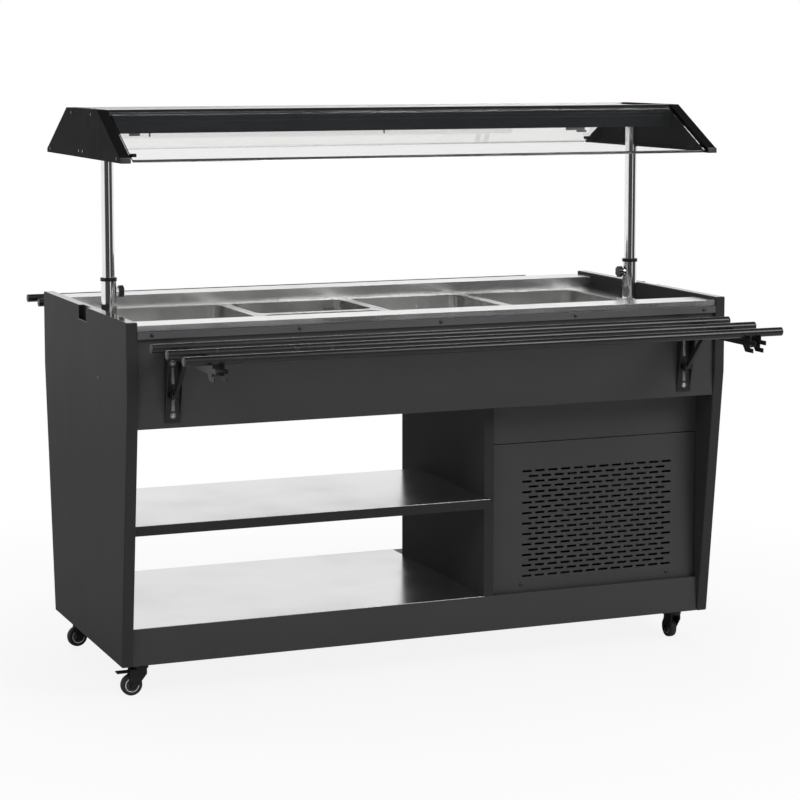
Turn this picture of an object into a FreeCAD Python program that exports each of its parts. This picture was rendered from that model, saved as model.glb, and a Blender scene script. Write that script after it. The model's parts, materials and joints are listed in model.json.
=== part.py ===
import FreeCAD, Part
import math
import os
import re
import Sketcher

# A mobile refrigerated salad bar. X runs along its length, the customers' front faces -Y,
# and the floor is z = 0. Millimetres throughout.
SIZES = {
    # end panels
    "width": 1500, "panel_thick": 26, "panel_depth": 750, "foot_depth": 610,
    "panel_bottom": 80, "knee_height": 690, "panel_top": 870, "edge_bevel": 2,
    "grip_width": 76, "grip_height": 34, "grip_depth": 14, "grip_wall": 2,
    # folded sheet and running fits
    "sheet": 1.5, "skin": 1, "fit": 0.3, "hem": 25,
    # worktop, aprons and bumpers
    "ledge_drop": 8, "ledge_setback": 4, "ledge_width": 86, "ledge_lip": 13, "deck_drop": 30,
    "apron_setback": 10, "apron_bottom": 630, "bumper_height": 16, "bumper_gap": 1,
    "bumper_screws": 5, "bumper_screw_pitch": 346,
    # well, its lining and its coil
    "bay_count": 4, "bay_pitch": 325, "pan_length": 530, "pan_lap": 8, "well_depth": 140,
    "coil_space": 12, "coil_radius": 4, "coil_runs": 8, "coil_pitch": 56, "coil_half_length": 600,
    "drain_x": 250, "drain_radius": 12, "drain_tail": 92,
    # pans and their bars
    "pan_play": 2, "pan_rim": 11, "pan_depth": 100, "pan_wall": 1, "pan_corner": 30,
    "pan_foot_round": 12, "bar_width": 14, "bar_height": 12,
    # plinth, shelves and divider
    "plinth_front": 300, "plinth_rear": 285, "plinth_top": 165, "plinth_wall": 2,
    "castor_pad": 92, "castor_pad_thick": 3,
    "shelf_top": 408, "shelf_thick": 23, "shelf_front": 335, "shelf_rear": 115,
    "divider_left": 145, "divider_thick": 25, "divider_rear": 215,
    # compressor compartment
    "service_face": 285, "service_return": 15, "service_seam": 528, "seam_gap": 2,
    "door_screw_rise": 18, "door_screw_left": 250, "door_screw_right": 645,
    "slot_length": 25, "slot_height": 5.3, "slot_rows": 21, "slot_columns": 12,
    "slot_pitch_along": 34.4, "slot_pitch_up": 12.8, "slot_left": 252, "slot_bottom": 200,
    "vent_rows": 13, "vent_bottom": 365,
    # compressor, condenser and fan
    "pot_x": 330, "pot_y": 60, "pot_radius": 80, "pot_bottom": 183, "pot_height": 147, "pot_round": 35,
    "pot_feet_x": 85, "pot_feet_y": 65, "foot_radius": 9, "foot_rise": 15, "foot_plate": 3,
    "core_left": 420, "core_right": 700, "core_face": 250, "core_thick": 45, "core_foot": 10,
    "core_height": 290, "fin_pitch": 12, "fin_thick": 1.2, "core_tube_rows": 6, "core_tube_radius": 5,
    "relay_out": 18, "relay_half_width": 25, "line_rise": 25, "suction_drop": 70,
    "fan_radius": 108, "fan_clearance": 10, "hub_radius": 28, "fan_depth": 24, "fan_gap": 5,
    "blade_count": 5, "blade_thick": 2.5, "blade_pitch": 32, "blade_width": 58,
    "motor_radius": 38, "motor_length": 58, "motor_shaft": 4, "stay_size": 10,
    # controls at the rear
    "control_x": 480, "control_z": 585, "control_width": 170, "control_height": 54, "control_thick": 3,
    "dial_offset": 42, "dial_radius": 16, "dial_depth": 14, "dial_shaft": 3, "dial_mark": 2,
    "rocker_half_length": 13, "rocker_half_height": 6, "rocker_play": 1.5, "rocker_depth": 12,
    "rocker_proud": 4, "housing_wall": 3, "housing_depth": 22, "trunnion": 1.5,
    # posts, sleeves and clamp knobs
    "post_inset": 64, "post_radius": 15, "post_wall": 2, "post_foot": 790, "sleeve_wall": 2.7,
    "sleeve_rise": 96, "sleeve_flange": 32, "sleeve_flange_thick": 3,
    "knob_rise": 70, "boss_reach": 23, "boss_radius": 9, "stud_radius": 4, "knob_radius": 14,
    "knob_thick": 11, "knob_lobes": 6, "lobe_radius": 4,
    # canopy
    "canopy_bottom": 1217, "canopy_top": 1330, "canopy_lip": 9, "canopy_inset": 4, "cap_thick": 24,
    "cap_wall": 3, "canopy_depth": 662, "roof_depth": 274, "fascia_height": 57, "fascia_thick": 16,
    "groove": 2, "groove_height": 3, "groove_pitch": 9, "beam_width": 30, "beam_height": 39,
    "roof_sheet": 2, "roof_drop": 4,
    "glass_thick": 5, "glass_reach": 205, "glass_side_gap": 6, "hinge_radius": 4.5, "hinge_pin": 3,
    "hinge_out": 5.5, "hinge_down": 11, "hinge_boss": 7, "rest_pin": 4, "rest_pin_in": 43, "rest_pin_up": 30,
    # lamp
    "lamp_radius": 13, "lamp_left": 640, "lamp_right": 530, "lamp_gap": 3, "batten_width": 50,
    "batten_height": 25, "batten_end": 660, "holder_thick": 15, "holder_width": 28,
    "driver_length": 95, "driver_height": 14,
    # folding tray slides
    "rail_length": 1430, "rail_radius": 10, "rail_wall": 1.5, "rail_first": 450, "rail_pitch": 120,
    "rail_height": 821, "rail_count": 3, "bracket_x": 643, "plate_width": 36, "plate_thick": 3,
    "plate_bottom": 643, "cheek_thick": 1.5, "cheek_reach": 27, "cheek_taper": 65,
    "arm_pivot_out": 18, "arm_pivot_down": 21, "pin_radius": 3, "arm_half_width": 14.5, "arm_sheet": 2.5,
    "arm_above": 15, "arm_below": 9, "arm_root": 8, "arm_end": 318, "prong_length": 22,
    "prong_height": 10, "prong_gap": 8, "spacer_radius": 4, "spacer_one": 240, "spacer_two": 304,
    "strut_drop": 95, "strut_out": 87, "strut_low": 7.5, "strut_half_width": 6, "strut_boss": 7,
    "strut_sheet": 4, "lug_thick": 2,
    "plate_screw_top": 776, "plate_screw_low": 658,
    # castors
    "castor_x": 690, "castor_y": 246, "castor_trail": 22, "wheel_radius": 25, "wheel_width": 18,
    "tread_width": 12, "tread_bevel": 2, "wheel_play": 1.5, "leg_thick": 2.5, "leg_foot": 8,
    "leg_root": 12, "leg_brow": 12, "leg_back": 26, "axle_radius": 3, "crown_radius": 17, "crown_thick": 5,
    "plate_half": 30, "castor_plate": 3, "race_radius": 14, "race_height": 9.7, "bolt_offset": 22,
    "bolt_radius": 4, "bolt_head": 3,
    "brake_pin": 2, "brake_back": 20, "brake_rise": 31, "pedal_reach": 57, "pedal_inner": 12,
    "pedal_thick": 3, "pedal_half_width": 10, "pedal_hub": 4,
    # screws
    "screw_radius": 2, "screw_length": 9, "screw_head_radius": 4.5, "screw_head": 2.5,
}

# Levels and faces that several pieces share, as formulas of the driving dimensions.
HALF = "(width / 2)"
INNER = "(width / 2 - panel_thick)"
LEDGE_TOP = "(panel_top - ledge_drop)"
DECK_TOP = f"({LEDGE_TOP} - deck_drop)"
LEDGE_FACE = "(panel_depth / 2 - ledge_setback)"
LEDGE_INNER = f"({LEDGE_FACE} - ledge_width)"
APRON_FACE = "(panel_depth / 2 - apron_setback)"
LIP_BOTTOM = f"({LEDGE_TOP} - ledge_lip)"
BUMPER_TOP = f"({LIP_BOTTOM} - bumper_gap)"
BUMPER_MID = f"({BUMPER_TOP} - bumper_height / 2)"
CASING_BOTTOM = "(apron_bottom + sheet)"
CASING_TOP = "(apron_bottom + 2 * sheet)"
OPEN_X = "(bay_count * bay_pitch / 2 - pan_lap)"
OPEN_Y = "(pan_length / 2 - pan_lap)"
WELL_FLOOR = f"({DECK_TOP} - well_depth)"
COIL_Z = f"({WELL_FLOOR} - sheet - coil_radius - fit)"
COIL_EDGE = "((coil_runs - 1) * coil_pitch / 2)"
DIVIDER_RIGHT = "(divider_left + divider_thick)"
POST_X = "(width / 2 - post_inset)"
SLEEVE_RADIUS = "(post_radius + fit + sleeve_wall)"
KNOB_Z = f"({DECK_TOP} + knob_rise)"
CAP_OUTER = "(width / 2 - canopy_inset)"
CAP_INNER = f"({CAP_OUTER} - cap_thick)"
LIP_TOP = "(canopy_bottom + canopy_lip)"
SLOPE_RUN = "((canopy_depth - roof_depth) / 2)"
SLOPE_RISE = f"(canopy_top - {LIP_TOP})"
SLOPE_LENGTH = f"sqrt({SLOPE_RUN} ^ 2 + {SLOPE_RISE} ^ 2)"
SLOPE_COS = f"({SLOPE_RUN} / {SLOPE_LENGTH})"
SLOPE_SIN = f"({SLOPE_RISE} / {SLOPE_LENGTH})"
HINGE_Y = "(roof_depth / 2 + hinge_out)"
HINGE_Z = "(canopy_top - hinge_down)"
GLASS_HALF = f"({CAP_INNER} - glass_side_gap)"
ROOF_UNDER = "(canopy_top - roof_drop - roof_sheet)"
FASCIA_INNER = "(roof_depth / 2 - fascia_thick)"
BATTEN_BOTTOM = f"({ROOF_UNDER} - batten_height)"
LAMP_Z = f"({BATTEN_BOTTOM} - lamp_gap - lamp_radius)"
ARM_Y = f"({APRON_FACE} + arm_pivot_out)"
ARM_Z = "(rail_height - arm_pivot_down)"
STRUT_Z = f"({ARM_Z} - strut_drop)"
CORE_TOP = "(plinth_top + core_foot + core_height - core_foot)"
CORE_BACK = "(-core_face + core_thick)"
FAN_X = "((core_left + core_right) / 2)"
FAN_Z = "(plinth_top + core_height / 2 + core_foot / 2)"
FAN_FRONT = f"({CORE_BACK} + sheet + fan_gap)"
FAN_BACK = f"({FAN_FRONT} + fan_depth)"
CROWN_TOP = "(panel_bottom - castor_plate - race_height - fit)"
CROWN_BOTTOM = f"({CROWN_TOP} - crown_thick)"

NAME = re.compile(r"[A-Za-z_]+")
TURNED = {
    "X": FreeCAD.Rotation(FreeCAD.Vector(0, 1, 0), 90),
    "Y": FreeCAD.Rotation(FreeCAD.Vector(1, 0, 0), -90),
    "Z": FreeCAD.Rotation(),
}
MIRRORS = {"X": FreeCAD.Vector(1, 0, 0), "Y": FreeCAD.Vector(0, 1, 0)}

doc = FreeCAD.newDocument("salad_bar")
nodes = {}


def make_sheet():
    """The spreadsheet that holds every driving dimension under its own alias."""
    sheet = doc.addObject("Spreadsheet::Sheet", "Sizes")
    for row, (alias, value) in enumerate(SIZES.items(), start=1):
        sheet.set(f"A{row}", alias)
        sheet.set(f"B{row}", str(value))
        sheet.setAlias(f"B{row}", alias)
    doc.recompute()
    return sheet


sizes = make_sheet()


def size(alias):
    """One driving dimension, read back from the sheet."""
    return getattr(sizes, alias)


def bind(item, prop, formula):
    """Ties a property to a formula of the driving dimensions."""
    item.setExpression(prop, NAME.sub(lambda m: "Sizes." + m[0] if m[0] in SIZES else m[0], formula))


def put(item, x="0", y="0", z="0"):
    """Places an item at formulas of the driving dimensions."""
    for axis, formula in zip("xyz", (x, y, z)):
        if formula != "0":
            bind(item, f"Placement.Base.{axis}", formula)
    return item


def slab(x0, x1, y0, y1, z0, z1):
    """A box between pairs of faces."""
    item = doc.addObject("Part::Box", "slab")
    for prop, low, high in (("Length", x0, x1), ("Width", y0, y1), ("Height", z0, z1)):
        bind(item, prop, f"({high}) - ({low})")
    return put(item, x0, y0, z0)


def rod(axis, x, y, z, radius, length):
    """A cylinder that starts at a point and runs up an axis."""
    item = doc.addObject("Part::Cylinder", "rod")
    item.Placement = FreeCAD.Placement(FreeCAD.Vector(), TURNED[axis])
    bind(item, "Radius", radius)
    bind(item, "Height", length)
    return put(item, x, y, z)


def cone(axis, x, y, z, radius, end_radius, length):
    """A cone that starts at a point and runs up an axis."""
    item = doc.addObject("Part::Cone", "cone")
    item.Placement = FreeCAD.Placement(FreeCAD.Vector(), TURNED[axis])
    bind(item, "Radius1", radius)
    bind(item, "Radius2", end_radius)
    bind(item, "Height", length)
    return put(item, x, y, z)


def cut(base, *tools):
    """The base without the tools."""
    for tool in tools:
        item = doc.addObject("Part::Cut", "cut")
        item.Base = base
        item.Tool = tool
        base = item
    return base


def fuse(*parts):
    """Parts that are one piece of metal or plastic."""
    item = doc.addObject("Part::MultiFuse", "fuse")
    item.Shapes = list(parts)
    return item


def group(*parts):
    """Separate solids that share a node or one cut."""
    item = doc.addObject("Part::Compound", "group")
    item.Links = list(parts)
    return item


def mirror(part, axis):
    """The same part on the other side of the middle."""
    item = doc.addObject("Part::Mirroring", "mirror")
    item.Source = part
    item.Base = FreeCAD.Vector()
    item.Normal = MIRRORS[axis]
    return item


def both(part, axis):
    """A part and its mirror image."""
    return group(part, mirror(part, axis))


def node(name, item):
    """Gives a finished sub-part its name."""
    item.Label = name
    nodes[name] = item
    return item


def start_sketch(body, plane):
    """An empty sketch on one of the body's own origin planes."""
    sketch = body.newObject("Sketcher::SketchObject", "outline")
    face = next(f for f in body.Origin.OriginFeatures if f.Role == plane)
    sketch.AttachmentSupport = [(face, "")]
    sketch.MapMode = "FlatFace"
    return sketch


def add_outline(sketch, points):
    """A closed outline whose corners are tied to formulas."""
    first = sketch.GeometryCount
    count = len(points)
    corner = [FreeCAD.Vector(math.cos(2 * math.pi * k / count), math.sin(2 * math.pi * k / count), 0)
              for k in range(count)]
    for k in range(count):
        sketch.addGeometry(Part.LineSegment(corner[k], corner[(k + 1) % count]), False)
    for k in range(count):
        following = first + (k + 1) % count
        sketch.addConstraint(Sketcher.Constraint("Coincident", first + k, 2, following, 1))
    for k, (across, up) in enumerate(points):
        for kind, formula, start in (("DistanceX", across, corner[k].x), ("DistanceY", up, corner[k].y)):
            rule = sketch.addConstraint(Sketcher.Constraint(kind, -1, 1, first + k, 1, start))
            bind(sketch, f"Constraints[{rule}]", formula)


def prism(plane, points, thick, at=("0", "0", "0"), bevel=None):
    """An outline given thickness evenly to both sides of its plane."""
    body = doc.addObject("PartDesign::Body", "prism")
    sketch = start_sketch(body, plane)
    add_outline(sketch, points)
    pad = body.newObject("PartDesign::Pad", "pad")
    pad.Profile = sketch
    pad.SideType = "Symmetric"
    bind(pad, "Length", thick)
    if bevel:
        doc.recompute()
        chamfer = body.newObject("PartDesign::Chamfer", "bevel")
        chamfer.Base = (pad, ["Edge1"])
        chamfer.UseAllEdges = True
        bind(chamfer, "Size", bevel)
        body.Tip = chamfer
    return put(body, *at)


def rectangle(half_x, half_y):
    """The corners of a rectangle about the sketch's origin."""
    return [(f"-{half_x}", f"-{half_y}"), (half_x, f"-{half_y}"), (half_x, half_y), (f"-{half_x}", half_y)]


def tub(half_x, half_y, depth, corner, foot):
    """A block with rounded upright corners and a rounded foot; its top is at z = 0."""
    body = doc.addObject("PartDesign::Body", "tub")
    sketch = start_sketch(body, "XY_Plane")
    add_outline(sketch, rectangle(half_x, half_y))
    pad = body.newObject("PartDesign::Pad", "pad")
    pad.Profile = sketch
    pad.Reversed = True
    bind(pad, "Length", depth)
    doc.recompute()
    upright = [f"Edge{k}" for k, edge in enumerate(pad.Shape.Edges, start=1)
               if abs(edge.tangentAt(edge.FirstParameter).z) > 0.9]
    corners = body.newObject("PartDesign::Fillet", "corners")
    corners.Base = (pad, upright)
    bind(corners, "Radius", corner)
    doc.recompute()
    low = corners.Shape.BoundBox.ZMin
    bottom = [f"Edge{k}" for k, edge in enumerate(corners.Shape.Edges, start=1)
              if edge.BoundBox.ZMax < low + SIZES["pan_wall"]]
    around = body.newObject("PartDesign::Fillet", "foot")
    around.Base = (corners, bottom)
    bind(around, "Radius", foot)
    body.Tip = around
    return body


def canister(radius, height, rounding):
    """A round can with rounded rims, standing on z = 0."""
    body = doc.addObject("PartDesign::Body", "canister")
    sketch = start_sketch(body, "XY_Plane")
    sketch.addGeometry(Part.Circle(FreeCAD.Vector(), FreeCAD.Vector(0, 0, 1), 1), False)
    sketch.addConstraint(Sketcher.Constraint("Coincident", 0, 3, -1, 1))
    rule = sketch.addConstraint(Sketcher.Constraint("Radius", 0, 1))
    bind(sketch, f"Constraints[{rule}]", radius)
    pad = body.newObject("PartDesign::Pad", "pad")
    pad.Profile = sketch
    bind(pad, "Length", height)
    doc.recompute()
    fillet = body.newObject("PartDesign::Fillet", "rims")
    fillet.Base = (pad, ["Edge1"])
    fillet.UseAllEdges = True
    bind(fillet, "Radius", rounding)
    body.Tip = fillet
    return body


def pipe(*points):
    """A tube's outer form along square runs, with round elbows."""
    parts = []
    for start, end in zip(points, points[1:]):
        along = next(k for k in range(3) if start[k] != end[k])
        lower = f"min({start[along]}; {end[along]})"
        place = [lower if k == along else start[k] for k in range(3)]
        parts.append(rod("XYZ"[along], *place, "coil_radius", f"abs(({start[along]}) - ({end[along]}))"))
    for point in points[1:-1]:
        elbow = doc.addObject("Part::Sphere", "elbow")
        bind(elbow, "Radius", "coil_radius")
        parts.append(put(elbow, *point))
    return parts


def side_rod(x, y, z, radius, length):
    """A rod along X, centred on x."""
    return rod("X", f"({x}) - ({length}) / 2", y, z, radius, length)


def make_end_panels():
    """Two side panels whose edges run in from the knee down, each with a finger recess at the top."""
    outline = [("-panel_depth / 2", "panel_top"), ("-panel_depth / 2", "knee_height"),
               ("-foot_depth / 2", "panel_bottom"), ("foot_depth / 2", "panel_bottom"),
               ("panel_depth / 2", "knee_height"), ("panel_depth / 2", "panel_top")]
    panel = prism("YZ_Plane", outline, "panel_thick", (f"-({INNER} + panel_thick / 2)", "0", "0"), "edge_bevel")
    recess = slab(f"-{HALF}", f"-{HALF} + grip_depth", "-grip_width / 2", "grip_width / 2",
                  "panel_top - grip_height", "panel_top")
    left = node("end_panel_left", cut(panel, recess))
    node("end_panel_right", mirror(left, "X"))
    block = slab(f"-{HALF}", f"-{HALF} + grip_depth", "-grip_width / 2", "grip_width / 2",
                 "panel_top - grip_height", "panel_top")
    hollow = slab(f"-{HALF} - grip_depth", f"-{HALF} + grip_depth - grip_wall",
                  "-grip_width / 2 + grip_wall", "grip_width / 2 - grip_wall",
                  "panel_top - grip_height + grip_wall", "panel_top + grip_height")
    node("grip_cups", both(cut(block, hollow), "X"))


def make_worktop():
    """Folded stainless ledges along the front and the rear of the well."""
    outer = f"-{LEDGE_FACE}"
    inner = f"-{LEDGE_INNER}"
    section = [(outer, LIP_BOTTOM), (outer, LEDGE_TOP), (inner, LEDGE_TOP), (inner, DECK_TOP),
               (f"{inner} - sheet", DECK_TOP), (f"{inner} - sheet", f"{LEDGE_TOP} - sheet"),
               (f"{outer} + sheet", f"{LEDGE_TOP} - sheet"), (f"{outer} + sheet", LIP_BOTTOM)]
    node("worktop_ledges", both(prism("YZ_Plane", section, f"2 * {INNER}"), "Y"))


def make_well():
    """The stainless deck and trough, its foam, its coil and the sheet that closes it below."""
    deck_edge = f"({LEDGE_INNER} + sheet)"
    deck = slab(f"-{INNER}", INNER, f"-{deck_edge}", deck_edge, f"{DECK_TOP} - sheet", DECK_TOP)
    floor = slab(f"-{OPEN_X} - sheet", f"{OPEN_X} + sheet", f"-{OPEN_Y} - sheet", f"{OPEN_Y} + sheet",
                 f"{WELL_FLOOR} - sheet", WELL_FLOOR)
    end_wall = slab(OPEN_X, f"{OPEN_X} + sheet", f"-{OPEN_Y} - sheet", f"{OPEN_Y} + sheet",
                    WELL_FLOOR, f"{DECK_TOP} - sheet")
    long_wall = slab(f"-{OPEN_X}", OPEN_X, OPEN_Y, f"{OPEN_Y} + sheet", WELL_FLOOR, f"{DECK_TOP} - sheet")
    tail = rod("Z", "drain_x", "0", f"{WELL_FLOOR} - drain_tail", "drain_radius + sheet", "drain_tail")
    room = slab(f"-{OPEN_X}", OPEN_X, f"-{OPEN_Y}", OPEN_Y, WELL_FLOOR, f"{DECK_TOP} + well_depth")
    drain = rod("Z", "drain_x", "0", f"{WELL_FLOOR} - 2 * drain_tail", "drain_radius", "3 * drain_tail")
    socket = rod("Z", POST_X, "0", CASING_TOP, f"{SLEEVE_RADIUS} + fit",
                 f"{DECK_TOP} - {CASING_TOP} + well_depth")
    sockets = both(socket, "X")
    node("well_tank", group(cut(deck, room, sockets), cut(fuse(floor, tail), drain),
                            both(end_wall, "X"), both(long_wall, "Y")))

    drain_way = rod("Z", "drain_x", "0", "0", "drain_radius + sheet + fit", DECK_TOP)
    supply = rod("Z", "coil_half_length", f"-{COIL_EDGE}", "0", "coil_radius + fit", DECK_TOP)
    pipes = both(supply, "Y")
    side = f"({APRON_FACE} - sheet)"
    foam = slab(f"-{INNER}", INNER, f"-{side}", side, CASING_TOP, f"{DECK_TOP} - sheet")
    bath = slab(f"-{OPEN_X} - sheet", f"{OPEN_X} + sheet", f"-{OPEN_Y} - sheet", f"{OPEN_Y} + sheet",
                f"{WELL_FLOOR} - sheet - coil_space", f"{DECK_TOP} + well_depth")
    node("well_insulation", cut(foam, bath, sockets, drain_way, pipes))

    casing = slab(f"-{INNER}", INNER, f"-{side}", side, CASING_BOTTOM, CASING_TOP)
    node("well_casing", cut(casing, drain_way, pipes))


def make_coil():
    """The cold coil under the trough, and its lines to the compressor and the condenser."""
    parts = []
    runs = int(size("coil_runs"))
    for run in range(runs):
        y = f"({run} * coil_pitch - {COIL_EDGE})"
        parts.append(side_rod("0", y, COIL_Z, "coil_radius", "2 * coil_half_length"))
        if run + 1 < runs:
            bend = doc.addObject("Part::Torus", "bend")
            bind(bend, "Radius1", "coil_pitch / 2")
            bind(bend, "Radius2", "coil_radius")
            bend.Angle3 = 180
            end = -1 if run % 2 == 0 else 1
            half_turn = FreeCAD.Rotation(FreeCAD.Vector(0, 0, 1), -90 * end)
            bend.Placement = FreeCAD.Placement(FreeCAD.Vector(), half_turn)
            parts.append(put(bend, f"{end} * coil_half_length", f"{y} + coil_pitch / 2", COIL_Z))
    end_x = "coil_half_length"
    core_y = "(core_thick / 2 - core_face)"
    over = f"({CORE_TOP} + line_rise)"
    low_side = f"-{COIL_EDGE}"
    high_side = COIL_EDGE
    suction_z = f"({CASING_BOTTOM} - suction_drop)"
    pot_top = "(pot_bottom + pot_height)"
    parts += pipe((f"{end_x} - coil_radius", low_side, COIL_Z), (end_x, low_side, COIL_Z),
                  (end_x, low_side, over), (end_x, core_y, over), (end_x, core_y, CORE_TOP))
    parts += pipe((f"{end_x} - coil_radius", high_side, COIL_Z), (end_x, high_side, COIL_Z),
                  (end_x, high_side, suction_z), (end_x, "pot_y", suction_z), ("pot_x", "pot_y", suction_z),
                  ("pot_x", "pot_y", pot_top))
    discharge_x = "(pot_x + pot_radius - pot_round - 2 * coil_radius)"
    header_x = "(core_left + 2 * fin_pitch)"
    line = pipe((discharge_x, "pot_y", pot_top), (discharge_x, "pot_y", over),
                (discharge_x, core_y, over), (header_x, core_y, over), (header_x, core_y, CORE_TOP))
    node("refrigerant_circuit", group(fuse(*parts), fuse(*line)))


def bumper_screw_places():
    """The X places of the screws along a bumper bar."""
    count = int(size("bumper_screws"))
    return [f"({k} - {(count - 1) / 2}) * bumper_screw_pitch" for k in range(count)]


def plate_screw_places():
    """The places of the screws in the wall plates of one tray slide."""
    return [(f"{side} * bracket_x", z) for side in (-1, 1) for z in ("plate_screw_low", "plate_screw_top")]


def front_holes(places, y0, y1):
    """Screw holes along Y through a front sheet."""
    holes = [rod("Y", x, y0, z, "screw_radius + fit", f"({y1}) - ({y0})") for x, z in places]
    return group(*holes)


def make_aprons():
    """The deep front and rear panels, and the bumper bar along the top of each."""
    face = f"-{APRON_FACE}"
    top = f"({LEDGE_TOP} - sheet)"
    section = [(face, "apron_bottom"), (face, top), (f"{face} + sheet", top),
               (f"{face} + sheet", CASING_BOTTOM), (f"{face} + hem", CASING_BOTTOM),
               (f"{face} + hem", "apron_bottom")]
    panel = prism("YZ_Plane", section, f"2 * {INNER}")
    bumper_places = [(x, BUMPER_MID) for x in bumper_screw_places()]
    places = bumper_places + plate_screw_places()
    holes = front_holes(places, f"{face} - sheet", f"{face} + 3 * sheet")
    node("aprons", both(cut(panel, holes), "Y"))

    bar = slab(f"-{INNER}", INNER, "-panel_depth / 2", face, f"{BUMPER_TOP} - bumper_height", BUMPER_TOP)
    bar_holes = front_holes(bumper_places, "-panel_depth / 2 - sheet", f"{face} + sheet")
    node("bumper_bars", both(cut(bar, bar_holes), "Y"))


def screw(x, face, z, length):
    """A pan-head screw that enters along +Y at a face."""
    head = rod("Y", x, f"{face} - screw_head", z, "screw_head_radius", "screw_head")
    shank = rod("Y", x, face, z, "screw_radius", length)
    return fuse(head, shank)


def make_screws():
    """The screws of the bumper bars, of the slides' wall plates and of the service door."""
    plate_face = f"-{APRON_FACE} - plate_thick"
    pairs = [screw(x, "-panel_depth / 2", BUMPER_MID, "apron_setback + 2 * sheet")
             for x in bumper_screw_places()]
    pairs += [screw(x, plate_face, z, "plate_thick + sheet") for x, z in plate_screw_places()]
    front = group(*pairs)
    door = [screw(x, "-service_face", "plinth_top + door_screw_rise", "screw_length")
            for x in ("door_screw_left", "door_screw_right")]
    node("cabinet_screws", group(front, mirror(front, "Y"), *door))


def make_pan(name, x, y, half_y):
    """A pressed pan with a flat rim that hangs in the deck's opening."""
    half_rim_x = "((bay_pitch - pan_play) / 2)"
    half_x = f"({half_rim_x} - pan_rim)"
    inner_y = f"({half_y} - pan_rim)"
    outside = tub(half_x, inner_y, "pan_depth", "pan_corner", "pan_foot_round")
    inside = tub(f"({half_x} - pan_wall)", f"({inner_y} - pan_wall)", "pan_depth - pan_wall",
                 "pan_corner - pan_wall", "pan_foot_round - pan_wall")
    rim = slab(f"-{half_rim_x}", half_rim_x, f"-{half_y}", half_y, "0", "pan_wall")
    mouth = tub(f"({half_x} - pan_wall)", f"({inner_y} - pan_wall)", "2 * pan_depth / 3",
                "pan_corner - pan_wall", "pan_foot_round - pan_wall")
    put(mouth, z="pan_depth / 3")
    node(name, put(cut(fuse(outside, rim), inside, mouth), x, y, DECK_TOP))


def make_pans():
    """Three full pans and two half pans, and the bars between the bays."""
    full = "((pan_length - pan_play) / 2)"
    half = "((pan_length / 2 - pan_play) / 2)"
    first = "(bay_pitch / 2 - bay_count * bay_pitch / 2)"
    for name, bay in (("pan_left", 0), ("pan_centre", 2), ("pan_right", 3)):
        make_pan(name, f"{first} + {bay} * bay_pitch", "0", full)
    make_pan("half_pan_front", f"{first} + bay_pitch", "-pan_length / 4", half)
    make_pan("half_pan_rear", f"{first} + bay_pitch", "pan_length / 4", half)
    bars = []
    for bay in range(1, int(size("bay_count"))):
        x = f"({bay} - bay_count / 2) * bay_pitch"
        bars.append(slab(f"{x} - bar_width / 2", f"{x} + bar_width / 2", f"-{OPEN_Y}", OPEN_Y,
                         f"{DECK_TOP} - bar_height", DECK_TOP))
    bars.append(slab(f"{first} + bay_pitch / 2 + bar_width / 2",
                     f"{first} + 3 * bay_pitch / 2 - bar_width / 2",
                     "-bar_width / 2", "bar_width / 2", f"{DECK_TOP} - bar_height", DECK_TOP))
    node("pan_support_bars", group(*bars))


def make_plinth():
    """The folded base box, open below, with a pad for each castor."""
    wall = "plinth_wall"
    outer = slab(f"-{INNER}", INNER, "-plinth_front", "plinth_rear", "panel_bottom", "plinth_top")
    hollow = slab(f"-{INNER} + {wall}", f"{INNER} - {wall}", f"-plinth_front + {wall}", f"plinth_rear - {wall}",
                  "panel_bottom - hem", f"plinth_top - {wall}")
    parts = [cut(outer, hollow)]
    parts.append(slab(f"-{INNER}", INNER, "-plinth_front", "-plinth_front + hem", "panel_bottom",
                      f"panel_bottom + {wall}"))
    parts.append(slab(f"-{INNER}", INNER, "plinth_rear - hem", "plinth_rear", "panel_bottom",
                      f"panel_bottom + {wall}"))
    for y0, y1 in (("-plinth_front", "-plinth_front + castor_pad"),
                   ("plinth_rear - castor_pad", "plinth_rear")):
        parts.append(slab(f"-{INNER}", f"-{INNER} + castor_pad", y0, y1, "panel_bottom",
                          "panel_bottom + castor_pad_thick"))
        parts.append(slab(f"{INNER} - castor_pad", INNER, y0, y1, "panel_bottom",
                          "panel_bottom + castor_pad_thick"))
    for x in ("0", "divider_left"):
        parts.append(slab(f"{x}", f"{x} + {wall}", "-plinth_front", "plinth_rear", "panel_bottom",
                          "plinth_top"))
    node("plinth_frame", fuse(*parts))


def make_shelves():
    """The board of the middle shelf, the stainless skins and the divider."""
    board = slab(f"-{INNER}", "divider_left", "-shelf_front", "shelf_rear", "shelf_top - shelf_thick",
                 "shelf_top - skin")
    hollow = slab(f"-{INNER} + sheet", "divider_left - sheet", "-shelf_front + sheet", "shelf_rear - sheet",
                  "shelf_top - shelf_thick - sheet", "shelf_top - skin - sheet")
    node("middle_shelf", cut(board, hollow))
    upper = slab(f"-{INNER}", "divider_left", "-shelf_front", "shelf_rear", "shelf_top - skin", "shelf_top")
    lower = slab(f"-{INNER}", "divider_left", "-plinth_front", "plinth_rear", "plinth_top", "plinth_top + skin")
    node("shelf_tops", group(upper, lower))
    node("divider_panel", slab("divider_left", DIVIDER_RIGHT, "-plinth_front", "divider_rear", "plinth_top",
                               CASING_BOTTOM))


def tray_panel(x0, x1, z0, z1, face):
    """A sheet panel with a return on all four edges, its face towards -Y."""
    outer = slab(x0, x1, f"-{face}", f"-{face} + service_return", z0, z1)
    hollow = slab(f"{x0} + sheet", f"{x1} - sheet", f"-{face} + sheet", f"-{face} + 2 * service_return",
                  f"{z0} + sheet", f"{z1} - sheet")
    return cut(outer, hollow)


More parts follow.
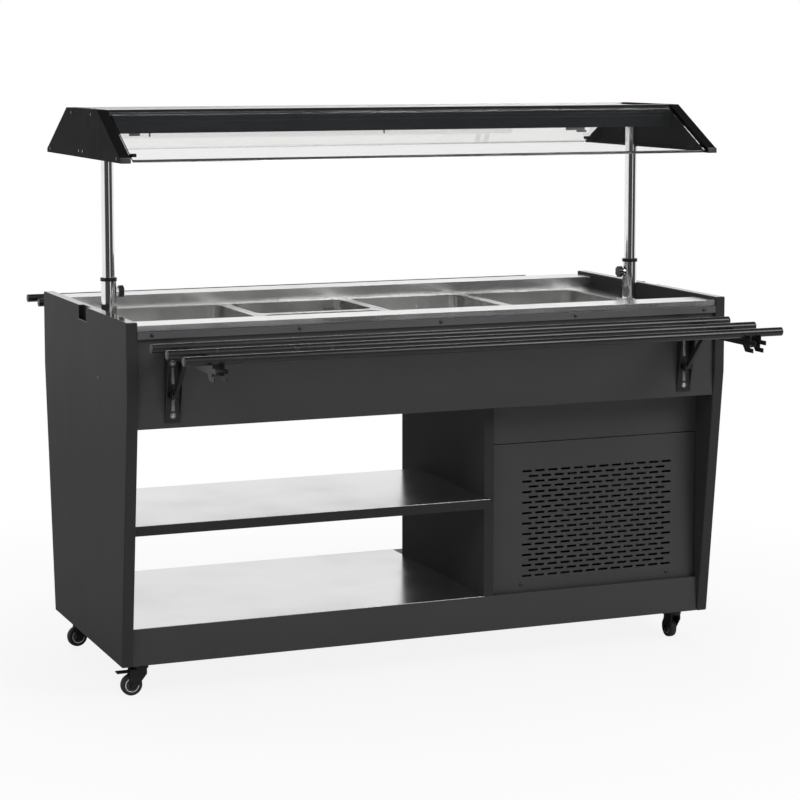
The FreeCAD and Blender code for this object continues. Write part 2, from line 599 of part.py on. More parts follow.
def louvre_slots(face, bottom, rows):
    """Rows of air slots, every second row half a pitch along, for a panel whose face is at -face."""
    length = size("slot_length")
    tall = size("slot_height")
    slots = []
    for row in range(int(rows)):
        shift = size("slot_pitch_along") / 2 if row % 2 else 0
        for column in range(int(size("slot_columns")) - row % 2):
            x = size("slot_left") + shift + column * size("slot_pitch_along")
            z = bottom + row * size("slot_pitch_up")
            corner = FreeCAD.Vector(x, -face - size("sheet"), z)
            slots.append(Part.makeBox(length, 4 * size("sheet"), tall, corner))
    item = doc.addObject("Part::Feature", "slots")
    item.Shape = Part.makeCompound(slots)
    return item


def make_service_panels():
    """The fixed panel and the slotted door in front of the compressor, and the slotted rear panel."""
    upper_bottom = "(service_seam + seam_gap / 2)"
    door_top = "(service_seam - seam_gap / 2)"
    node("service_panel", tray_panel(DIVIDER_RIGHT, INNER, upper_bottom, CASING_BOTTOM, "service_face"))
    door = tray_panel(f"({DIVIDER_RIGHT} + seam_gap)", f"({INNER} - seam_gap)", "plinth_top", door_top,
                      "service_face")
    places = [(x, "plinth_top + door_screw_rise") for x in ("door_screw_left", "door_screw_right")]
    holes = front_holes(places, "-service_face - sheet", "-service_face + 3 * sheet")
    slots = louvre_slots(size("service_face"), size("slot_bottom"), size("slot_rows"))
    node("louvre_door", cut(door, slots, holes))

    rear = mirror(tray_panel(DIVIDER_RIGHT, INNER, "plinth_top", CASING_BOTTOM, "divider_rear"), "Y")
    rear_slots = mirror(louvre_slots(size("divider_rear"), size("vent_bottom"), size("vent_rows")), "Y")
    window = slab("control_x - control_width / 2 + hem / 2", "control_x + control_width / 2 - hem / 2",
                  "divider_rear - 2 * service_return", "divider_rear + service_return",
                  "control_z - control_height / 2 + hem / 4", "control_z + control_height / 2 - hem / 4")
    node("rear_service_panel", cut(rear, rear_slots, window))


def make_controls():
    """The rear control plate with its thermostat dial and its rocker switch."""
    face = "(divider_rear + control_thick)"
    dial_x = "(control_x - dial_offset)"
    rocker_x = "(control_x + dial_offset)"
    plate = slab("control_x - control_width / 2", "control_x + control_width / 2", "divider_rear", face,
                 "control_z - control_height / 2", "control_z + control_height / 2")
    can = slab(f"{dial_x} - dial_radius", f"{dial_x} + dial_radius", "divider_rear - 2 * housing_depth",
               "divider_rear", "control_z - dial_radius", "control_z + dial_radius")
    half_x = "(rocker_half_length + rocker_play)"
    half_z = "(rocker_half_height + rocker_play)"
    house = slab(f"{rocker_x} - {half_x} - housing_wall", f"{rocker_x} + {half_x} + housing_wall",
                 "divider_rear - housing_depth", "divider_rear",
                 f"control_z - {half_z} - housing_wall", f"control_z + {half_z} + housing_wall")
    well = slab(f"{rocker_x} - {half_x}", f"{rocker_x} + {half_x}",
                "divider_rear - housing_depth + housing_wall", f"{face} + control_thick",
                f"control_z - {half_z}", f"control_z + {half_z}")
    pivot_y = "(divider_rear - rocker_depth / 4)"
    trunnion_length = f"(2 * ({half_z} + housing_wall / 2))"
    holes = rod("Z", rocker_x, pivot_y, f"control_z - {trunnion_length} / 2 - fit", "trunnion + fit",
                f"{trunnion_length} + 2 * fit")
    dial_hole = rod("Y", dial_x, "divider_rear - housing_depth", "control_z", "dial_shaft + fit",
                    "2 * housing_depth")
    node("control_plate", cut(fuse(plate, can, house), well, holes, dial_hole))

    cap = rod("Y", dial_x, f"{face} + fit", "control_z", "dial_radius", "dial_depth")
    shaft = rod("Y", dial_x, "divider_rear - housing_depth / 2", "control_z", "dial_shaft",
                f"housing_depth / 2 + control_thick + 2 * fit")
    flat = slab(f"{dial_x} - dial_radius / 8", f"{dial_x} + dial_radius / 8", f"{face} + dial_depth",
                f"{face} + dial_depth + dial_mark", "control_z", "control_z + dial_radius")
    node("thermostat_knob", fuse(cap, shaft, flat))

    rocker = slab(f"{rocker_x} - rocker_half_length", f"{rocker_x} + rocker_half_length",
                  f"{face} + rocker_proud - rocker_depth", f"{face} + rocker_proud",
                  "control_z - rocker_half_height", "control_z + rocker_half_height")
    pins = rod("Z", rocker_x, pivot_y, f"control_z - {trunnion_length} / 2", "trunnion", trunnion_length)
    node("power_switch", fuse(rocker, pins))


def make_cooling():
    """The compressor on its feet, and the finned condenser."""
    pot = put(canister("pot_radius", "pot_height", "pot_round"), "pot_x", "pot_y", "pot_bottom")
    plate_low = "(plinth_top + foot_rise)"
    plate = slab("pot_x - pot_feet_x - 2 * foot_radius", "pot_x + pot_feet_x + 2 * foot_radius",
                 "pot_y - pot_feet_y - foot_radius", "pot_y + pot_feet_y + foot_radius",
                 plate_low, f"{plate_low} + foot_plate")
    neck = rod("Z", "pot_x", "pot_y", plate_low, "pot_radius / 2",
               "pot_bottom - plinth_top - foot_rise + pot_round")
    relay = slab("pot_x - pot_radius - relay_out", "pot_x - pot_radius / 2", "pot_y - relay_half_width",
                 "pot_y + relay_half_width",
                 "pot_bottom + pot_round", "pot_bottom + pot_height - pot_round")
    feet = [rod("Z", f"pot_x + {a} * pot_feet_x", f"pot_y + {b} * pot_feet_y", "plinth_top", "foot_radius",
                "foot_rise") for a in (-1, 1) for b in (-1, 1)]
    node("compressor", fuse(pot, plate, neck, relay, *feet))

    fins = []
    count = int((size("core_right") - size("core_left")) / size("fin_pitch"))
    for k in range(1, count):
        x = f"(core_left + {k} * fin_pitch)"
        fins.append(slab(x, f"{x} + fin_thick", "-core_face", CORE_BACK, "plinth_top + core_foot", CORE_TOP))
    ends = [slab(x, f"{x} + 2 * fin_thick", "-core_face", CORE_BACK, "plinth_top", CORE_TOP)
            for x in ("core_left", "core_right - 2 * fin_thick")]
    rows = int(size("core_tube_rows"))
    tubes = [rod("X", "core_left", "core_thick / 2 - core_face",
                 f"plinth_top + core_foot + ({k} + 0.5) * (core_height - core_foot) / {rows}",
                 "core_tube_radius", "core_right - core_left") for k in range(rows)]
    node("condenser", fuse(*ends, *fins, *tubes))


def make_fan():
    """The fan behind the condenser: shroud and motor, and the blades on their shaft."""
    hole_radius = "(fan_radius + fan_clearance)"
    frame = slab("core_left", "core_right", CORE_BACK, f"{CORE_BACK} + sheet", "plinth_top + core_foot", CORE_TOP)
    shroud = cut(frame, rod("Y", FAN_X, f"{CORE_BACK} - sheet", FAN_Z, hole_radius, "4 * sheet"))
    motor_front = f"({FAN_BACK} + fan_gap)"
    motor = rod("Y", FAN_X, motor_front, FAN_Z, "motor_radius", "motor_length")
    bore = rod("Y", FAN_X, f"{motor_front} - fit", FAN_Z, "motor_shaft + fit", "motor_length / 2")
    stay_y = f"({motor_front} + motor_length / 2)"
    cross = slab("core_left", "core_right", stay_y, f"{stay_y} + stay_size / 2", f"{FAN_Z} - stay_size",
                 f"{FAN_Z} + stay_size")
    legs = [slab(x, f"{x} + stay_size", f"{CORE_BACK} + sheet", f"{stay_y} + stay_size / 2",
                 f"{FAN_Z} - stay_size", f"{FAN_Z} + stay_size") for x in ("core_left", "core_right - stay_size")]
    node("fan_motor", cut(fuse(shroud, motor, cross, *legs), bore))

    hub = rod("Y", FAN_X, FAN_FRONT, FAN_Z, "hub_radius", "fan_depth")
    shaft = rod("Y", FAN_X, FAN_FRONT, FAN_Z, "motor_shaft", "fan_depth + fan_gap + motor_length / 3")
    blades = []
    count = int(size("blade_count"))
    for k in range(count):
        blade = doc.addObject("Part::Box", "blade")
        bind(blade, "Length", "fan_radius - hub_radius / 2")
        bind(blade, "Width", "blade_thick")
        bind(blade, "Height", "blade_width")
        pitch = FreeCAD.Rotation(FreeCAD.Vector(1, 0, 0), 90 - size("blade_pitch"))
        around = FreeCAD.Rotation(FreeCAD.Vector(0, 1, 0), 360 * k / count)
        blade.Placement = FreeCAD.Placement(FreeCAD.Vector(), pitch)
        bind(blade, "Placement.Base.x", "hub_radius / 2")
        bind(blade, "Placement.Base.y", "blade_width * sin(90 deg - blade_pitch * 1 deg) / 2")
        bind(blade, "Placement.Base.z", "-blade_width * cos(90 deg - blade_pitch * 1 deg) / 2")
        turned = group(blade)
        turned.Placement = FreeCAD.Placement(FreeCAD.Vector(), around)
        blades.append(put(turned, FAN_X, f"({FAN_FRONT} + {FAN_BACK}) / 2", FAN_Z))
    disc = rod("Y", FAN_X, FAN_FRONT, FAN_Z, "fan_radius", "fan_depth")
    swept = doc.addObject("Part::MultiCommon", "swept")
    swept.Shapes = [fuse(*blades), disc]
    node("fan_blade", fuse(hub, shaft, swept))


def make_posts():
    """Sleeves in the deck, the posts that slide in them, and the clamp knobs."""
    top = f"({DECK_TOP} + sleeve_rise)"
    tube = rod("Z", POST_X, "0", CASING_TOP, SLEEVE_RADIUS, f"{top} - {CASING_TOP}")
    flange = rod("Z", POST_X, "0", DECK_TOP, "sleeve_flange", "sleeve_flange_thick")
    boss = rod("X", f"{POST_X} - boss_reach", "0", KNOB_Z, "boss_radius", "boss_reach")
    bore = rod("Z", POST_X, "0", f"{CASING_TOP} - hem", "post_radius + fit", f"{top} - {CASING_TOP} + 2 * hem")
    thread = rod("X", f"{POST_X} - 2 * boss_reach", "0", KNOB_Z, "stud_radius + fit", "2 * boss_reach")
    node("post_sleeves", both(cut(fuse(tube, flange, boss), bore, thread), "X"))

    post_top = f"({ROOF_UNDER} - beam_height)"
    outside = rod("Z", POST_X, "0", "post_foot", "post_radius", f"{post_top} - post_foot")
    inside = rod("Z", POST_X, "0", "post_foot - hem", "post_radius - post_wall",
                 f"{post_top} - post_foot + 2 * hem")
    node("posts", both(cut(outside, inside), "X"))

    head_x = f"({POST_X} - boss_reach - fit - knob_thick)"
    stud = rod("X", head_x, "0", KNOB_Z, "stud_radius", f"{POST_X} - post_radius - fit - {head_x}")
    head = rod("X", head_x, "0", KNOB_Z, "knob_radius", "knob_thick")
    lobes = []
    for k in range(int(size("knob_lobes"))):
        angle = f"({k} * 360 deg / knob_lobes)"
        reach = "(knob_radius + lobe_radius / 2)"
        lobes.append(rod("X", f"{head_x} - hem", f"{reach} * cos{angle}", f"{KNOB_Z} + {reach} * sin{angle}",
                         "lobe_radius", "2 * hem"))
    right = node("clamp_knob_right", fuse(cut(head, group(*lobes)), stud))
    node("clamp_knob_left", mirror(right, "X"))


def cap_outline(inset):
    """The end cap's outline, drawn in by an inset; a flat roof, sloping sides and a short upright lip."""
    half_roof = f"(roof_depth / 2 - {inset} * (1 - {SLOPE_SIN}) / {SLOPE_COS})"
    half_foot = f"(canopy_depth / 2 - {inset})"
    top = f"(canopy_top - {inset})"
    shoulder = f"({LIP_TOP} - {inset} * (1 - {SLOPE_SIN}) / {SLOPE_COS})"
    low = f"(canopy_bottom + {inset})"
    right = [(half_roof, top), (half_foot, shoulder), (half_foot, low)]
    left = [(f"-{across}", up) for across, up in reversed(right)]
    return right + left


def make_canopy():
    """End caps, the roof's frame and sheet, and the two hinged glasses."""
    cap_mid = f"({CAP_INNER} + cap_thick / 2)"
    solid = prism("YZ_Plane", cap_outline("0"), "cap_thick", (cap_mid, "0", "0"))
    hollow = prism("YZ_Plane", cap_outline("cap_wall"), "cap_thick", (f"{cap_mid} - cap_wall", "0", "0"))
    pin_reach = f"({CAP_OUTER} - cap_wall - {CAP_INNER})"
    boss = rod("X", CAP_INNER, f"-{HINGE_Y}", HINGE_Z, "hinge_boss", pin_reach)
    along = "(glass_reach - rest_pin_up)"
    below = "(glass_thick / 2 + rest_pin + fit)"
    rest_y = f"(-{HINGE_Y} - {along} * {SLOPE_COS} + {below} * {SLOPE_SIN})"
    rest_z = f"({HINGE_Z} - {along} * {SLOPE_SIN} - {below} * {SLOPE_COS})"
    rest = rod("X", f"{CAP_OUTER} - cap_wall - rest_pin_in", rest_y, rest_z, "rest_pin", "rest_pin_in")
    bore = rod("X", f"{CAP_INNER} - cap_wall", f"-{HINGE_Y}", HINGE_Z, "hinge_pin + fit",
               f"{pin_reach} - cap_wall")
    fittings = fuse(boss, rest)
    cap = cut(fuse(cut(solid, hollow), fittings, mirror(fittings, "Y")), both(bore, "Y"))
    node("canopy_end_caps", both(cap, "X"))

    face = "-roof_depth / 2"
    low = "(canopy_top - fascia_height)"
    grooves = []
    for k in range(3):
        groove_top = f"(canopy_top - {k + 1} * groove_pitch)"
        grooves.append(slab(f"-{CAP_INNER}", CAP_INNER, face, f"{face} + groove",
                            f"{groove_top} - groove_height", groove_top))
    section = [(face, low), (face, "canopy_top"), (f"-{FASCIA_INNER}", "canopy_top"), (f"-{FASCIA_INNER}", low)]
    fascia = cut(prism("YZ_Plane", section, f"2 * {CAP_INNER}"), group(*grooves))
    beam = slab(f"{POST_X} - beam_width / 2", f"{POST_X} + beam_width / 2", f"-{FASCIA_INNER}", FASCIA_INNER,
                f"{ROOF_UNDER} - beam_height", ROOF_UNDER)
    node("roof_frame", fuse(fascia, mirror(fascia, "Y"), beam, mirror(beam, "X")))
    node("roof_sheet", slab(f"-{CAP_INNER}", CAP_INNER, f"-{FASCIA_INNER}", FASCIA_INNER, ROOF_UNDER,
                            f"{ROOF_UNDER} + roof_sheet"))

    plate = doc.addObject("Part::Box", "glass")
    bind(plate, "Length", f"2 * {GLASS_HALF}")
    bind(plate, "Width", "glass_reach")
    bind(plate, "Height", "glass_thick")
    plate.Placement = FreeCAD.Placement(FreeCAD.Vector(), FreeCAD.Rotation(FreeCAD.Vector(1, 0, 0), 1))
    bind(plate, "Placement.Rotation.Angle", f"atan({SLOPE_RISE} / {SLOPE_RUN})")
    put(plate, f"-{GLASS_HALF}", f"-{HINGE_Y} - glass_reach * {SLOPE_COS} + glass_thick / 2 * {SLOPE_SIN}",
        f"{HINGE_Z} - glass_reach * {SLOPE_SIN} - glass_thick / 2 * {SLOPE_COS}")
    bead = side_rod("0", f"-{HINGE_Y}", HINGE_Z, "hinge_radius", f"2 * {GLASS_HALF}")
    pin = side_rod("0", f"-{HINGE_Y}", HINGE_Z, "hinge_pin", f"2 * ({CAP_INNER} + cap_thick / 2)")
    front = node("glass_front", fuse(plate, bead, pin))
    node("glass_rear", mirror(front, "Y"))


def make_lamp():
    """The lamp under the roof, its batten with two holders, and the driver box."""
    block = slab("-batten_end", "batten_end", "-batten_width / 2", "batten_width / 2", BATTEN_BOTTOM,
                 ROOF_UNDER)
    hollow = slab("-batten_end + skin", "batten_end - skin", "-batten_width / 2 + skin",
                  "batten_width / 2 - skin", f"{BATTEN_BOTTOM} + skin", f"{ROOF_UNDER} + batten_height")
    batten = cut(block, hollow)
    foot = f"({LAMP_Z} - lamp_radius)"
    spans = (("-lamp_left - holder_thick", "-lamp_left"), ("lamp_right", "lamp_right + holder_thick"))
    holders = [slab(x0, x1, "-holder_width / 2", "holder_width / 2", foot, BATTEN_BOTTOM) for x0, x1 in spans]
    driver = slab("batten_end - driver_length", "batten_end", "-batten_width / 2", "batten_width / 2",
                  f"{BATTEN_BOTTOM} - driver_height", BATTEN_BOTTOM)
    node("lamp_batten", fuse(batten, driver, *holders))
    node("lamp_tube", rod("X", "-lamp_left", "0", LAMP_Z, "lamp_radius", "lamp_left + lamp_right"))


def make_slide_plates():
    """Wall plates with the cheeks and lugs that carry the arms and the struts."""
    face = f"(-{APRON_FACE})"
    top = f"({ARM_Z} + cheek_reach / 2)"
    web = slab("bracket_x - plate_width / 2", "bracket_x + plate_width / 2", f"{face} - plate_thick", face,
               "plate_bottom", top)
    reach = f"({face} - plate_thick - cheek_reach)"
    outline = [(face, top), (reach, top), (reach, f"{ARM_Z} - cheek_reach / 2"),
               (f"{face} - 2 * plate_thick", f"{STRUT_Z} - cheek_taper + cheek_reach"), (face, "plate_bottom")]
    cheeks = [prism("YZ_Plane", outline, "cheek_thick",
                    (f"bracket_x + {s} * (plate_width - cheek_thick) / 2", "0", "0")) for s in (-1, 1)]
    pin = side_rod("bracket_x", f"-{ARM_Y}", ARM_Z, "pin_radius", "plate_width")
    lug_gap = "(strut_half_width + fit)"
    lugs = []
    for s in (-1, 1):
        near = f"(bracket_x + {s} * {lug_gap})"
        far = f"(bracket_x + {s} * ({lug_gap} + lug_thick))"
        low, high = (far, near) if s < 0 else (near, far)
        lugs.append(slab(low, high, f"-{ARM_Y} - strut_boss", f"{face} - plate_thick",
                         f"{STRUT_Z} - strut_boss", f"{STRUT_Z} + strut_boss"))
    strut_pin = side_rod("bracket_x", f"-{ARM_Y}", STRUT_Z, "pin_radius", f"2 * ({lug_gap} + lug_thick)")
    holes = front_holes([("bracket_x", z) for z in ("plate_screw_low", "plate_screw_top")],
                        f"{face} - 3 * plate_thick", f"{face} + sheet")
    plate = cut(fuse(web, *cheeks, pin, *lugs, strut_pin), holes)
    pair = both(plate, "X")
    node("slide_wall_plates", both(pair, "Y"))


def arm_outline():
    """One cheek of a folding arm, with the two prongs at its end."""
    prong_low = f"({ARM_Z} - prong_height / 2)"
    second_top = f"({prong_low} - prong_gap)"
    second_low = f"({second_top} - prong_height)"
    points = [("-arm_root", f"{ARM_Z} - arm_below"), ("-arm_root", f"{ARM_Z} + arm_above"),
              ("arm_end", f"{ARM_Z} + arm_above"), ("arm_end", f"{ARM_Z} + prong_height / 2"),
              ("arm_end + prong_length", f"{ARM_Z} + prong_height / 2"), ("arm_end + prong_length", prong_low),
              ("arm_end - prong_gap / 2", prong_low), ("arm_end - prong_gap / 2", second_top),
              ("arm_end + prong_length / 2", second_top), ("arm_end + prong_length / 2", second_low),
              ("arm_end - prong_length", second_low), ("arm_end - 1.5 * prong_length", f"{ARM_Z} - arm_below")]
    return [(f"-({ARM_Y} + {out})", up) for out, up in points]


def make_slides():
    """The folding tray slides: three rails on two arms, and the strut under each arm."""
    rails = []
    saddles = []
    for k in range(int(size("rail_count"))):
        y = f"-(rail_first + {k} * rail_pitch)"
        bar = side_rod("0", y, "rail_height", "rail_radius", "rail_length")
        hollow = side_rod("0", y, "rail_height", "rail_radius - rail_wall", "rail_length - 4 * rail_wall")
        rails.append(cut(bar, hollow))
        saddles.append(side_rod("bracket_x", y, "rail_height", "rail_radius", "plate_width"))
    rails_front = node("tray_rails_front", group(*rails))
    node("tray_rails_rear", mirror(rails_front, "Y"))

    inner = "(arm_half_width - arm_sheet)"
    cheeks = [prism("YZ_Plane", arm_outline(), "arm_sheet",
                    (f"bracket_x + {s} * (arm_half_width - arm_sheet / 2)", "0", "0")) for s in (-1, 1)]
    spacers = [side_rod("bracket_x", f"-({ARM_Y} + {out})", f"{ARM_Z} + {up}", "spacer_radius",
                        f"2 * {inner} + arm_sheet")
               for out, up in (("spacer_one", "arm_above / 3"), ("spacer_two", "-arm_below"))]
    pivot = side_rod("bracket_x", f"-{ARM_Y}", ARM_Z, "pin_radius + fit", "plate_width")
    arm = cut(fuse(*cheeks, *spacers), pivot, group(*saddles))
    arms_front = node("slide_arms_front", both(arm, "X"))
    node("slide_arms_rear", mirror(arms_front, "Y"))

    rise = "(strut_drop - strut_low)"
    length = f"sqrt(strut_out ^ 2 + {rise} ^ 2)"
    side_y = f"(strut_half_width * {rise} / {length})"
    side_z = f"(strut_half_width * strut_out / {length})"
    end_y = f"(-{ARM_Y} - strut_out)"
    end_z = f"({STRUT_Z} + {rise})"
    bar = prism("YZ_Plane", [(f"-{ARM_Y} - {side_y}", f"{STRUT_Z} - {side_z}"),
                             (f"-{ARM_Y} + {side_y}", f"{STRUT_Z} + {side_z}"),
                             (f"{end_y} + {side_y}", f"{end_z} + {side_z}"),
                             (f"{end_y} - {side_y}", f"{end_z} - {side_z}")],
                "2 * strut_sheet", ("bracket_x", "0", "0"))
    bosses = [side_rod("bracket_x", y, z, "strut_boss", "2 * strut_half_width")
              for y, z in ((f"-{ARM_Y}", STRUT_Z), (end_y, end_z))]
    hole = side_rod("bracket_x", f"-{ARM_Y}", STRUT_Z, "pin_radius + fit", "plate_width")
    struts_front = node("slide_struts_front", both(cut(fuse(bar, *bosses), hole), "X"))
    node("slide_struts_rear", mirror(struts_front, "Y"))


def castor_places():
    """Each castor's corner: its name, the signs of X and Y, the way it trails and whether it brakes."""
    return [("front_left", -1, -1, 0, True), ("front_right", 1, -1, -90, True),
            ("rear_left", -1, 1, 10, False), ("rear_right", 1, 1, 180, False)]


def set_castor(item, sign_x, sign_y, turn):
    """Turns a castor piece about its swivel axis and stands it at its corner."""
    item.Placement = FreeCAD.Placement(FreeCAD.Vector(), FreeCAD.Rotation(FreeCAD.Vector(0, 0, 1), turn))
    return put(item, f"{sign_x} * castor_x", f"{sign_y} * castor_y")


def make_castors():
    """Four swivel castors; a piece is drawn about its swivel axis, trailing to -X."""
    leg_outline = [("leg_root", f"{CROWN_BOTTOM} + fit"), ("leg_root", f"{CROWN_BOTTOM} - leg_brow"),
                   ("-castor_trail + leg_foot", "wheel_radius - leg_foot"),
                   ("-castor_trail - leg_foot", "wheel_radius - leg_foot"),
                   ("-castor_trail - leg_foot", "wheel_radius + leg_foot"),
                   ("-leg_back", f"{CROWN_BOTTOM} + fit")]
    leg_y = "(wheel_width / 2 + wheel_play + leg_thick / 2)"
    across = f"(2 * {leg_y} + leg_thick)"
    plates = []
    for name, sign_x, sign_y, turn, brakes in castor_places():
        parts = [prism("XZ_Plane", leg_outline, "leg_thick", ("0", f"{s} * {leg_y}", "0")) for s in (-1, 1)]
        parts.append(rod("Z", "0", "0", CROWN_BOTTOM, "crown_radius", "crown_thick"))
        parts.append(rod("Y", "-castor_trail", f"-{across} / 2 - axle_radius / 2", "wheel_radius",
                         "axle_radius", f"{across} + axle_radius"))
        if brakes:
            parts.append(rod("Y", "-brake_back", f"-{across} / 2", "wheel_radius + brake_rise", "brake_pin",
                             across))
        node(f"castor_fork_{name}", set_castor(fuse(*parts), sign_x, sign_y, turn))

        bevel = "((wheel_width - tread_width) / 2)"
        tread = rod("Y", "-castor_trail", "-tread_width / 2", "wheel_radius", "wheel_radius", "tread_width")
        sides = [cone("Y", "-castor_trail", "tread_width / 2", "wheel_radius", "wheel_radius",
                      "wheel_radius - tread_bevel", bevel),
                 cone("Y", "-castor_trail", "-wheel_width / 2", "wheel_radius", "wheel_radius - tread_bevel",
                      "wheel_radius", bevel)]
        bore = rod("Y", "-castor_trail", "-wheel_width", "wheel_radius", "axle_radius + fit", "2 * wheel_width")
        node(f"castor_wheel_{name}", set_castor(cut(fuse(tread, *sides), bore), sign_x, sign_y, turn))

        if brakes:
            pedal_low = "(wheel_radius + brake_rise - pedal_thick / 2)"
            blade = slab("-pedal_reach", "-pedal_inner", "-pedal_half_width", "pedal_half_width", pedal_low,
                         f"{pedal_low} + pedal_thick")
            hub = rod("Y", "-brake_back", "-pedal_half_width", "wheel_radius + brake_rise", "pedal_hub",
                      "2 * pedal_half_width")
            hole = rod("Y", "-brake_back", "-wheel_width", "wheel_radius + brake_rise", "brake_pin + fit",
                       "2 * wheel_width")
            node(f"brake_pedal_{name}", set_castor(cut(fuse(blade, hub), hole), sign_x, sign_y, turn))

        plate_low = "(panel_bottom - castor_plate)"
        flat = slab("-plate_half", "plate_half", "-plate_half", "plate_half", plate_low, "panel_bottom")
        race = rod("Z", "0", "0", f"{plate_low} - race_height", "race_radius", "race_height")
        bolts = [rod("Z", f"{a} * bolt_offset", f"{b} * bolt_offset", f"{plate_low} - bolt_head", "bolt_radius",
                     "bolt_head") for a in (-1, 1) for b in (-1, 1)]
        plates.append(put(fuse(flat, race, *bolts), f"{sign_x} * castor_x", f"{sign_y} * castor_y"))
    node("castor_plates", group(*plates))


def check_model():
    """Stops if any object failed or any sub-part has no sound shape."""
    for item in doc.Objects:
        if "Invalid" in item.State or "Error" in item.State:
            raise RuntimeError(f"{item.Name} failed: {item.State}")
    for name, item in nodes.items():
        if item.Shape.isNull() or not item.Shape.isValid():
            raise RuntimeError(f"{name} has no sound shape")


def write_parts():
    """One file for each sub-part."""
    os.makedirs("parts", exist_ok=True)
    for name, item in nodes.items():
        item.Shape.exportStep(f"parts/{name}.step")
    print(len(nodes), "sub-parts")


make_end_panels()
make_worktop()
make_well()
make_coil()
make_aprons()
make_screws()
make_pans()
make_plinth()
make_shelves()
make_service_panels()
make_controls()
make_cooling()
make_fan()
make_posts()
make_canopy()
make_lamp()
make_slide_plates()
make_slides()
make_castors()
doc.recompute()
check_model()
write_parts()
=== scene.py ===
import json
import math

import bpy
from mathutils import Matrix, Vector


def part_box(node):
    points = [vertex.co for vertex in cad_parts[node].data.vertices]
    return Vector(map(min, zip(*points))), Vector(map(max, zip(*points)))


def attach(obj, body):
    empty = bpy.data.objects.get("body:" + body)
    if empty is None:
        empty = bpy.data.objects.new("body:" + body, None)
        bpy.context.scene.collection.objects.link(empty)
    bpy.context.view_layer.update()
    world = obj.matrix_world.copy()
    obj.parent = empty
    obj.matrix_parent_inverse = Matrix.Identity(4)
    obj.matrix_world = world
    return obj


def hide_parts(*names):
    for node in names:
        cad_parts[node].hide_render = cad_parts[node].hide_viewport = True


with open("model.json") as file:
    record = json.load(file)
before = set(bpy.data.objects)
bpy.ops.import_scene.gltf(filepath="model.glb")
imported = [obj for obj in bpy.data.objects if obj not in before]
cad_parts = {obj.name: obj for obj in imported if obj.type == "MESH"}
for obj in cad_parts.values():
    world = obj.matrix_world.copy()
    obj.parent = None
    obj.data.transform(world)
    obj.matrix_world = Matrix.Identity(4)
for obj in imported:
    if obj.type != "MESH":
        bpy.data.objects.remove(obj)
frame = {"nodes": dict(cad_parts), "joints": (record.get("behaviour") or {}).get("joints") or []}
nodes = frame["nodes"]
joints = {joint["name"]: joint for joint in frame["joints"]}
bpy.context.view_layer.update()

# The photograph's camera: its place, its turn to the right, its tilt down, its focal length and its shift
CAMERA_PLACE = (-2.151, -5.388, 1.464)
CAMERA_TURN = 22.23
CAMERA_TILT = 6.09
CAMERA_LENS = 107.0
CAMERA_DROP = -0.12

# The studio: the floor's radius, its tone, its glow near the object and where that rises to full white, the
# light of the room, how dark the flags look in metal, and how far to the right the bright strip stands
FLOOR_RADIUS = 5.0
FLOOR_TONE = (0.8, 0.8, 0.8)
FLOOR_NEAR_GLOW = 0.88
GLOW_FROM = 0.9
GLOW_FULL = 2.0
ROOM_LIGHT = 0.22
DARK_FLAGS = 0.06
STRIP_PLACE = 0.57

# Coats: the two shades of their patches, and how much clean and wiped spots change the roughness
MOTTLE_DARK = 0.92
MOTTLE_LIGHT = 1.08
CLEAN_GLOSS = 0.02
WIPED_GLOSS = 0.05

# Metals: scratches per metre along and across the brushing, their shades and sheen, and the wipe marks' shade
LINES_ALONG = 5.0
LINES_ACROSS = 620.0
LINE_DARK = 0.88
LINE_LIGHT = 1.1
SHEEN_CLEAR = 0.05
SHEEN_CLOUDY = 0.07
WIPED_METAL = 0.93
WIPED_SHINE = 0.06

# How squarely a face looks along an axis before it counts as looking that way
SQUARE_FROM = 0.8
SQUARE_FULL = 0.95

# The painted highlight on the roof's rim, the boards, the tyres' and the foam's tones, and the lamp's dim
# ends
RIM_FADE = 0.0002
RIM_DEPTH = 0.0008
BOARD_EDGING = (0.042, 0.042, 0.044)
BOARD_EDGE_HIGHLIGHT = (0.07, 0.07, 0.074)
BOARD_SIDE_GLOSS = (0.44, 0.47)
BOARD_TOP_GLOSS = 0.08
TYRE_BLACK = (0.016, 0.016, 0.018)
TYRE_DUSTY = (0.04, 0.039, 0.038)
FOAM_PORE = (0.62, 0.53, 0.33)
FOAM_SKIN = (0.82, 0.76, 0.58)
LAMP_DIM = (0.55, 0.5, 0.45)
LAMP_LIT = (1.0, 0.98, 0.95)
LAMP_DIM_END = 0.05

# Lengths are in metres from here on, beginning with the usual rounding of an edge
ROUNDING = 0.0004

# Collars on the post sleeves, with a groove round the middle whose levels are shares of the height
COLLAR_RADIUS = 0.0196
COLLAR_HEIGHT = 0.0085
COLLAR_GAP = 0.0006
COLLAR_LAP = 0.001
COLLAR_FOOT = 0.0008
COLLAR_EDGE = 0.0012
COLLAR_GROOVE = 0.0007
GROOVE_LEVELS = (0.4, 0.47, 0.54)

# Screw heads: the dome and the cross recess are shares of the radius and the height
SCREW_RADIUS = 0.0046
SCREW_DOME = ((0.99, 0), (1, 0.25), (0.93, 0.55), (0.72, 0.85), (0.35, 1))
RECESS_ARM = 0.55
RECESS_WIDTH = 0.13
RECESS_FLOOR = 0.45
RECESS_CLEAR = 1.5

# Where the screws sit on the bumpers, the wall plates and the service door
PLAIN_HEAD_RADIUS = 0.0045
PLATE_THICK = 0.003
PLATE_SCREW_INSET = 0.018
PLATE_SCREW_LEVELS = (0.658, 0.776)
DOOR_SCREW_PLACES = (0.25, 0.645)
DOOR_SCREW_RISE = 0.018

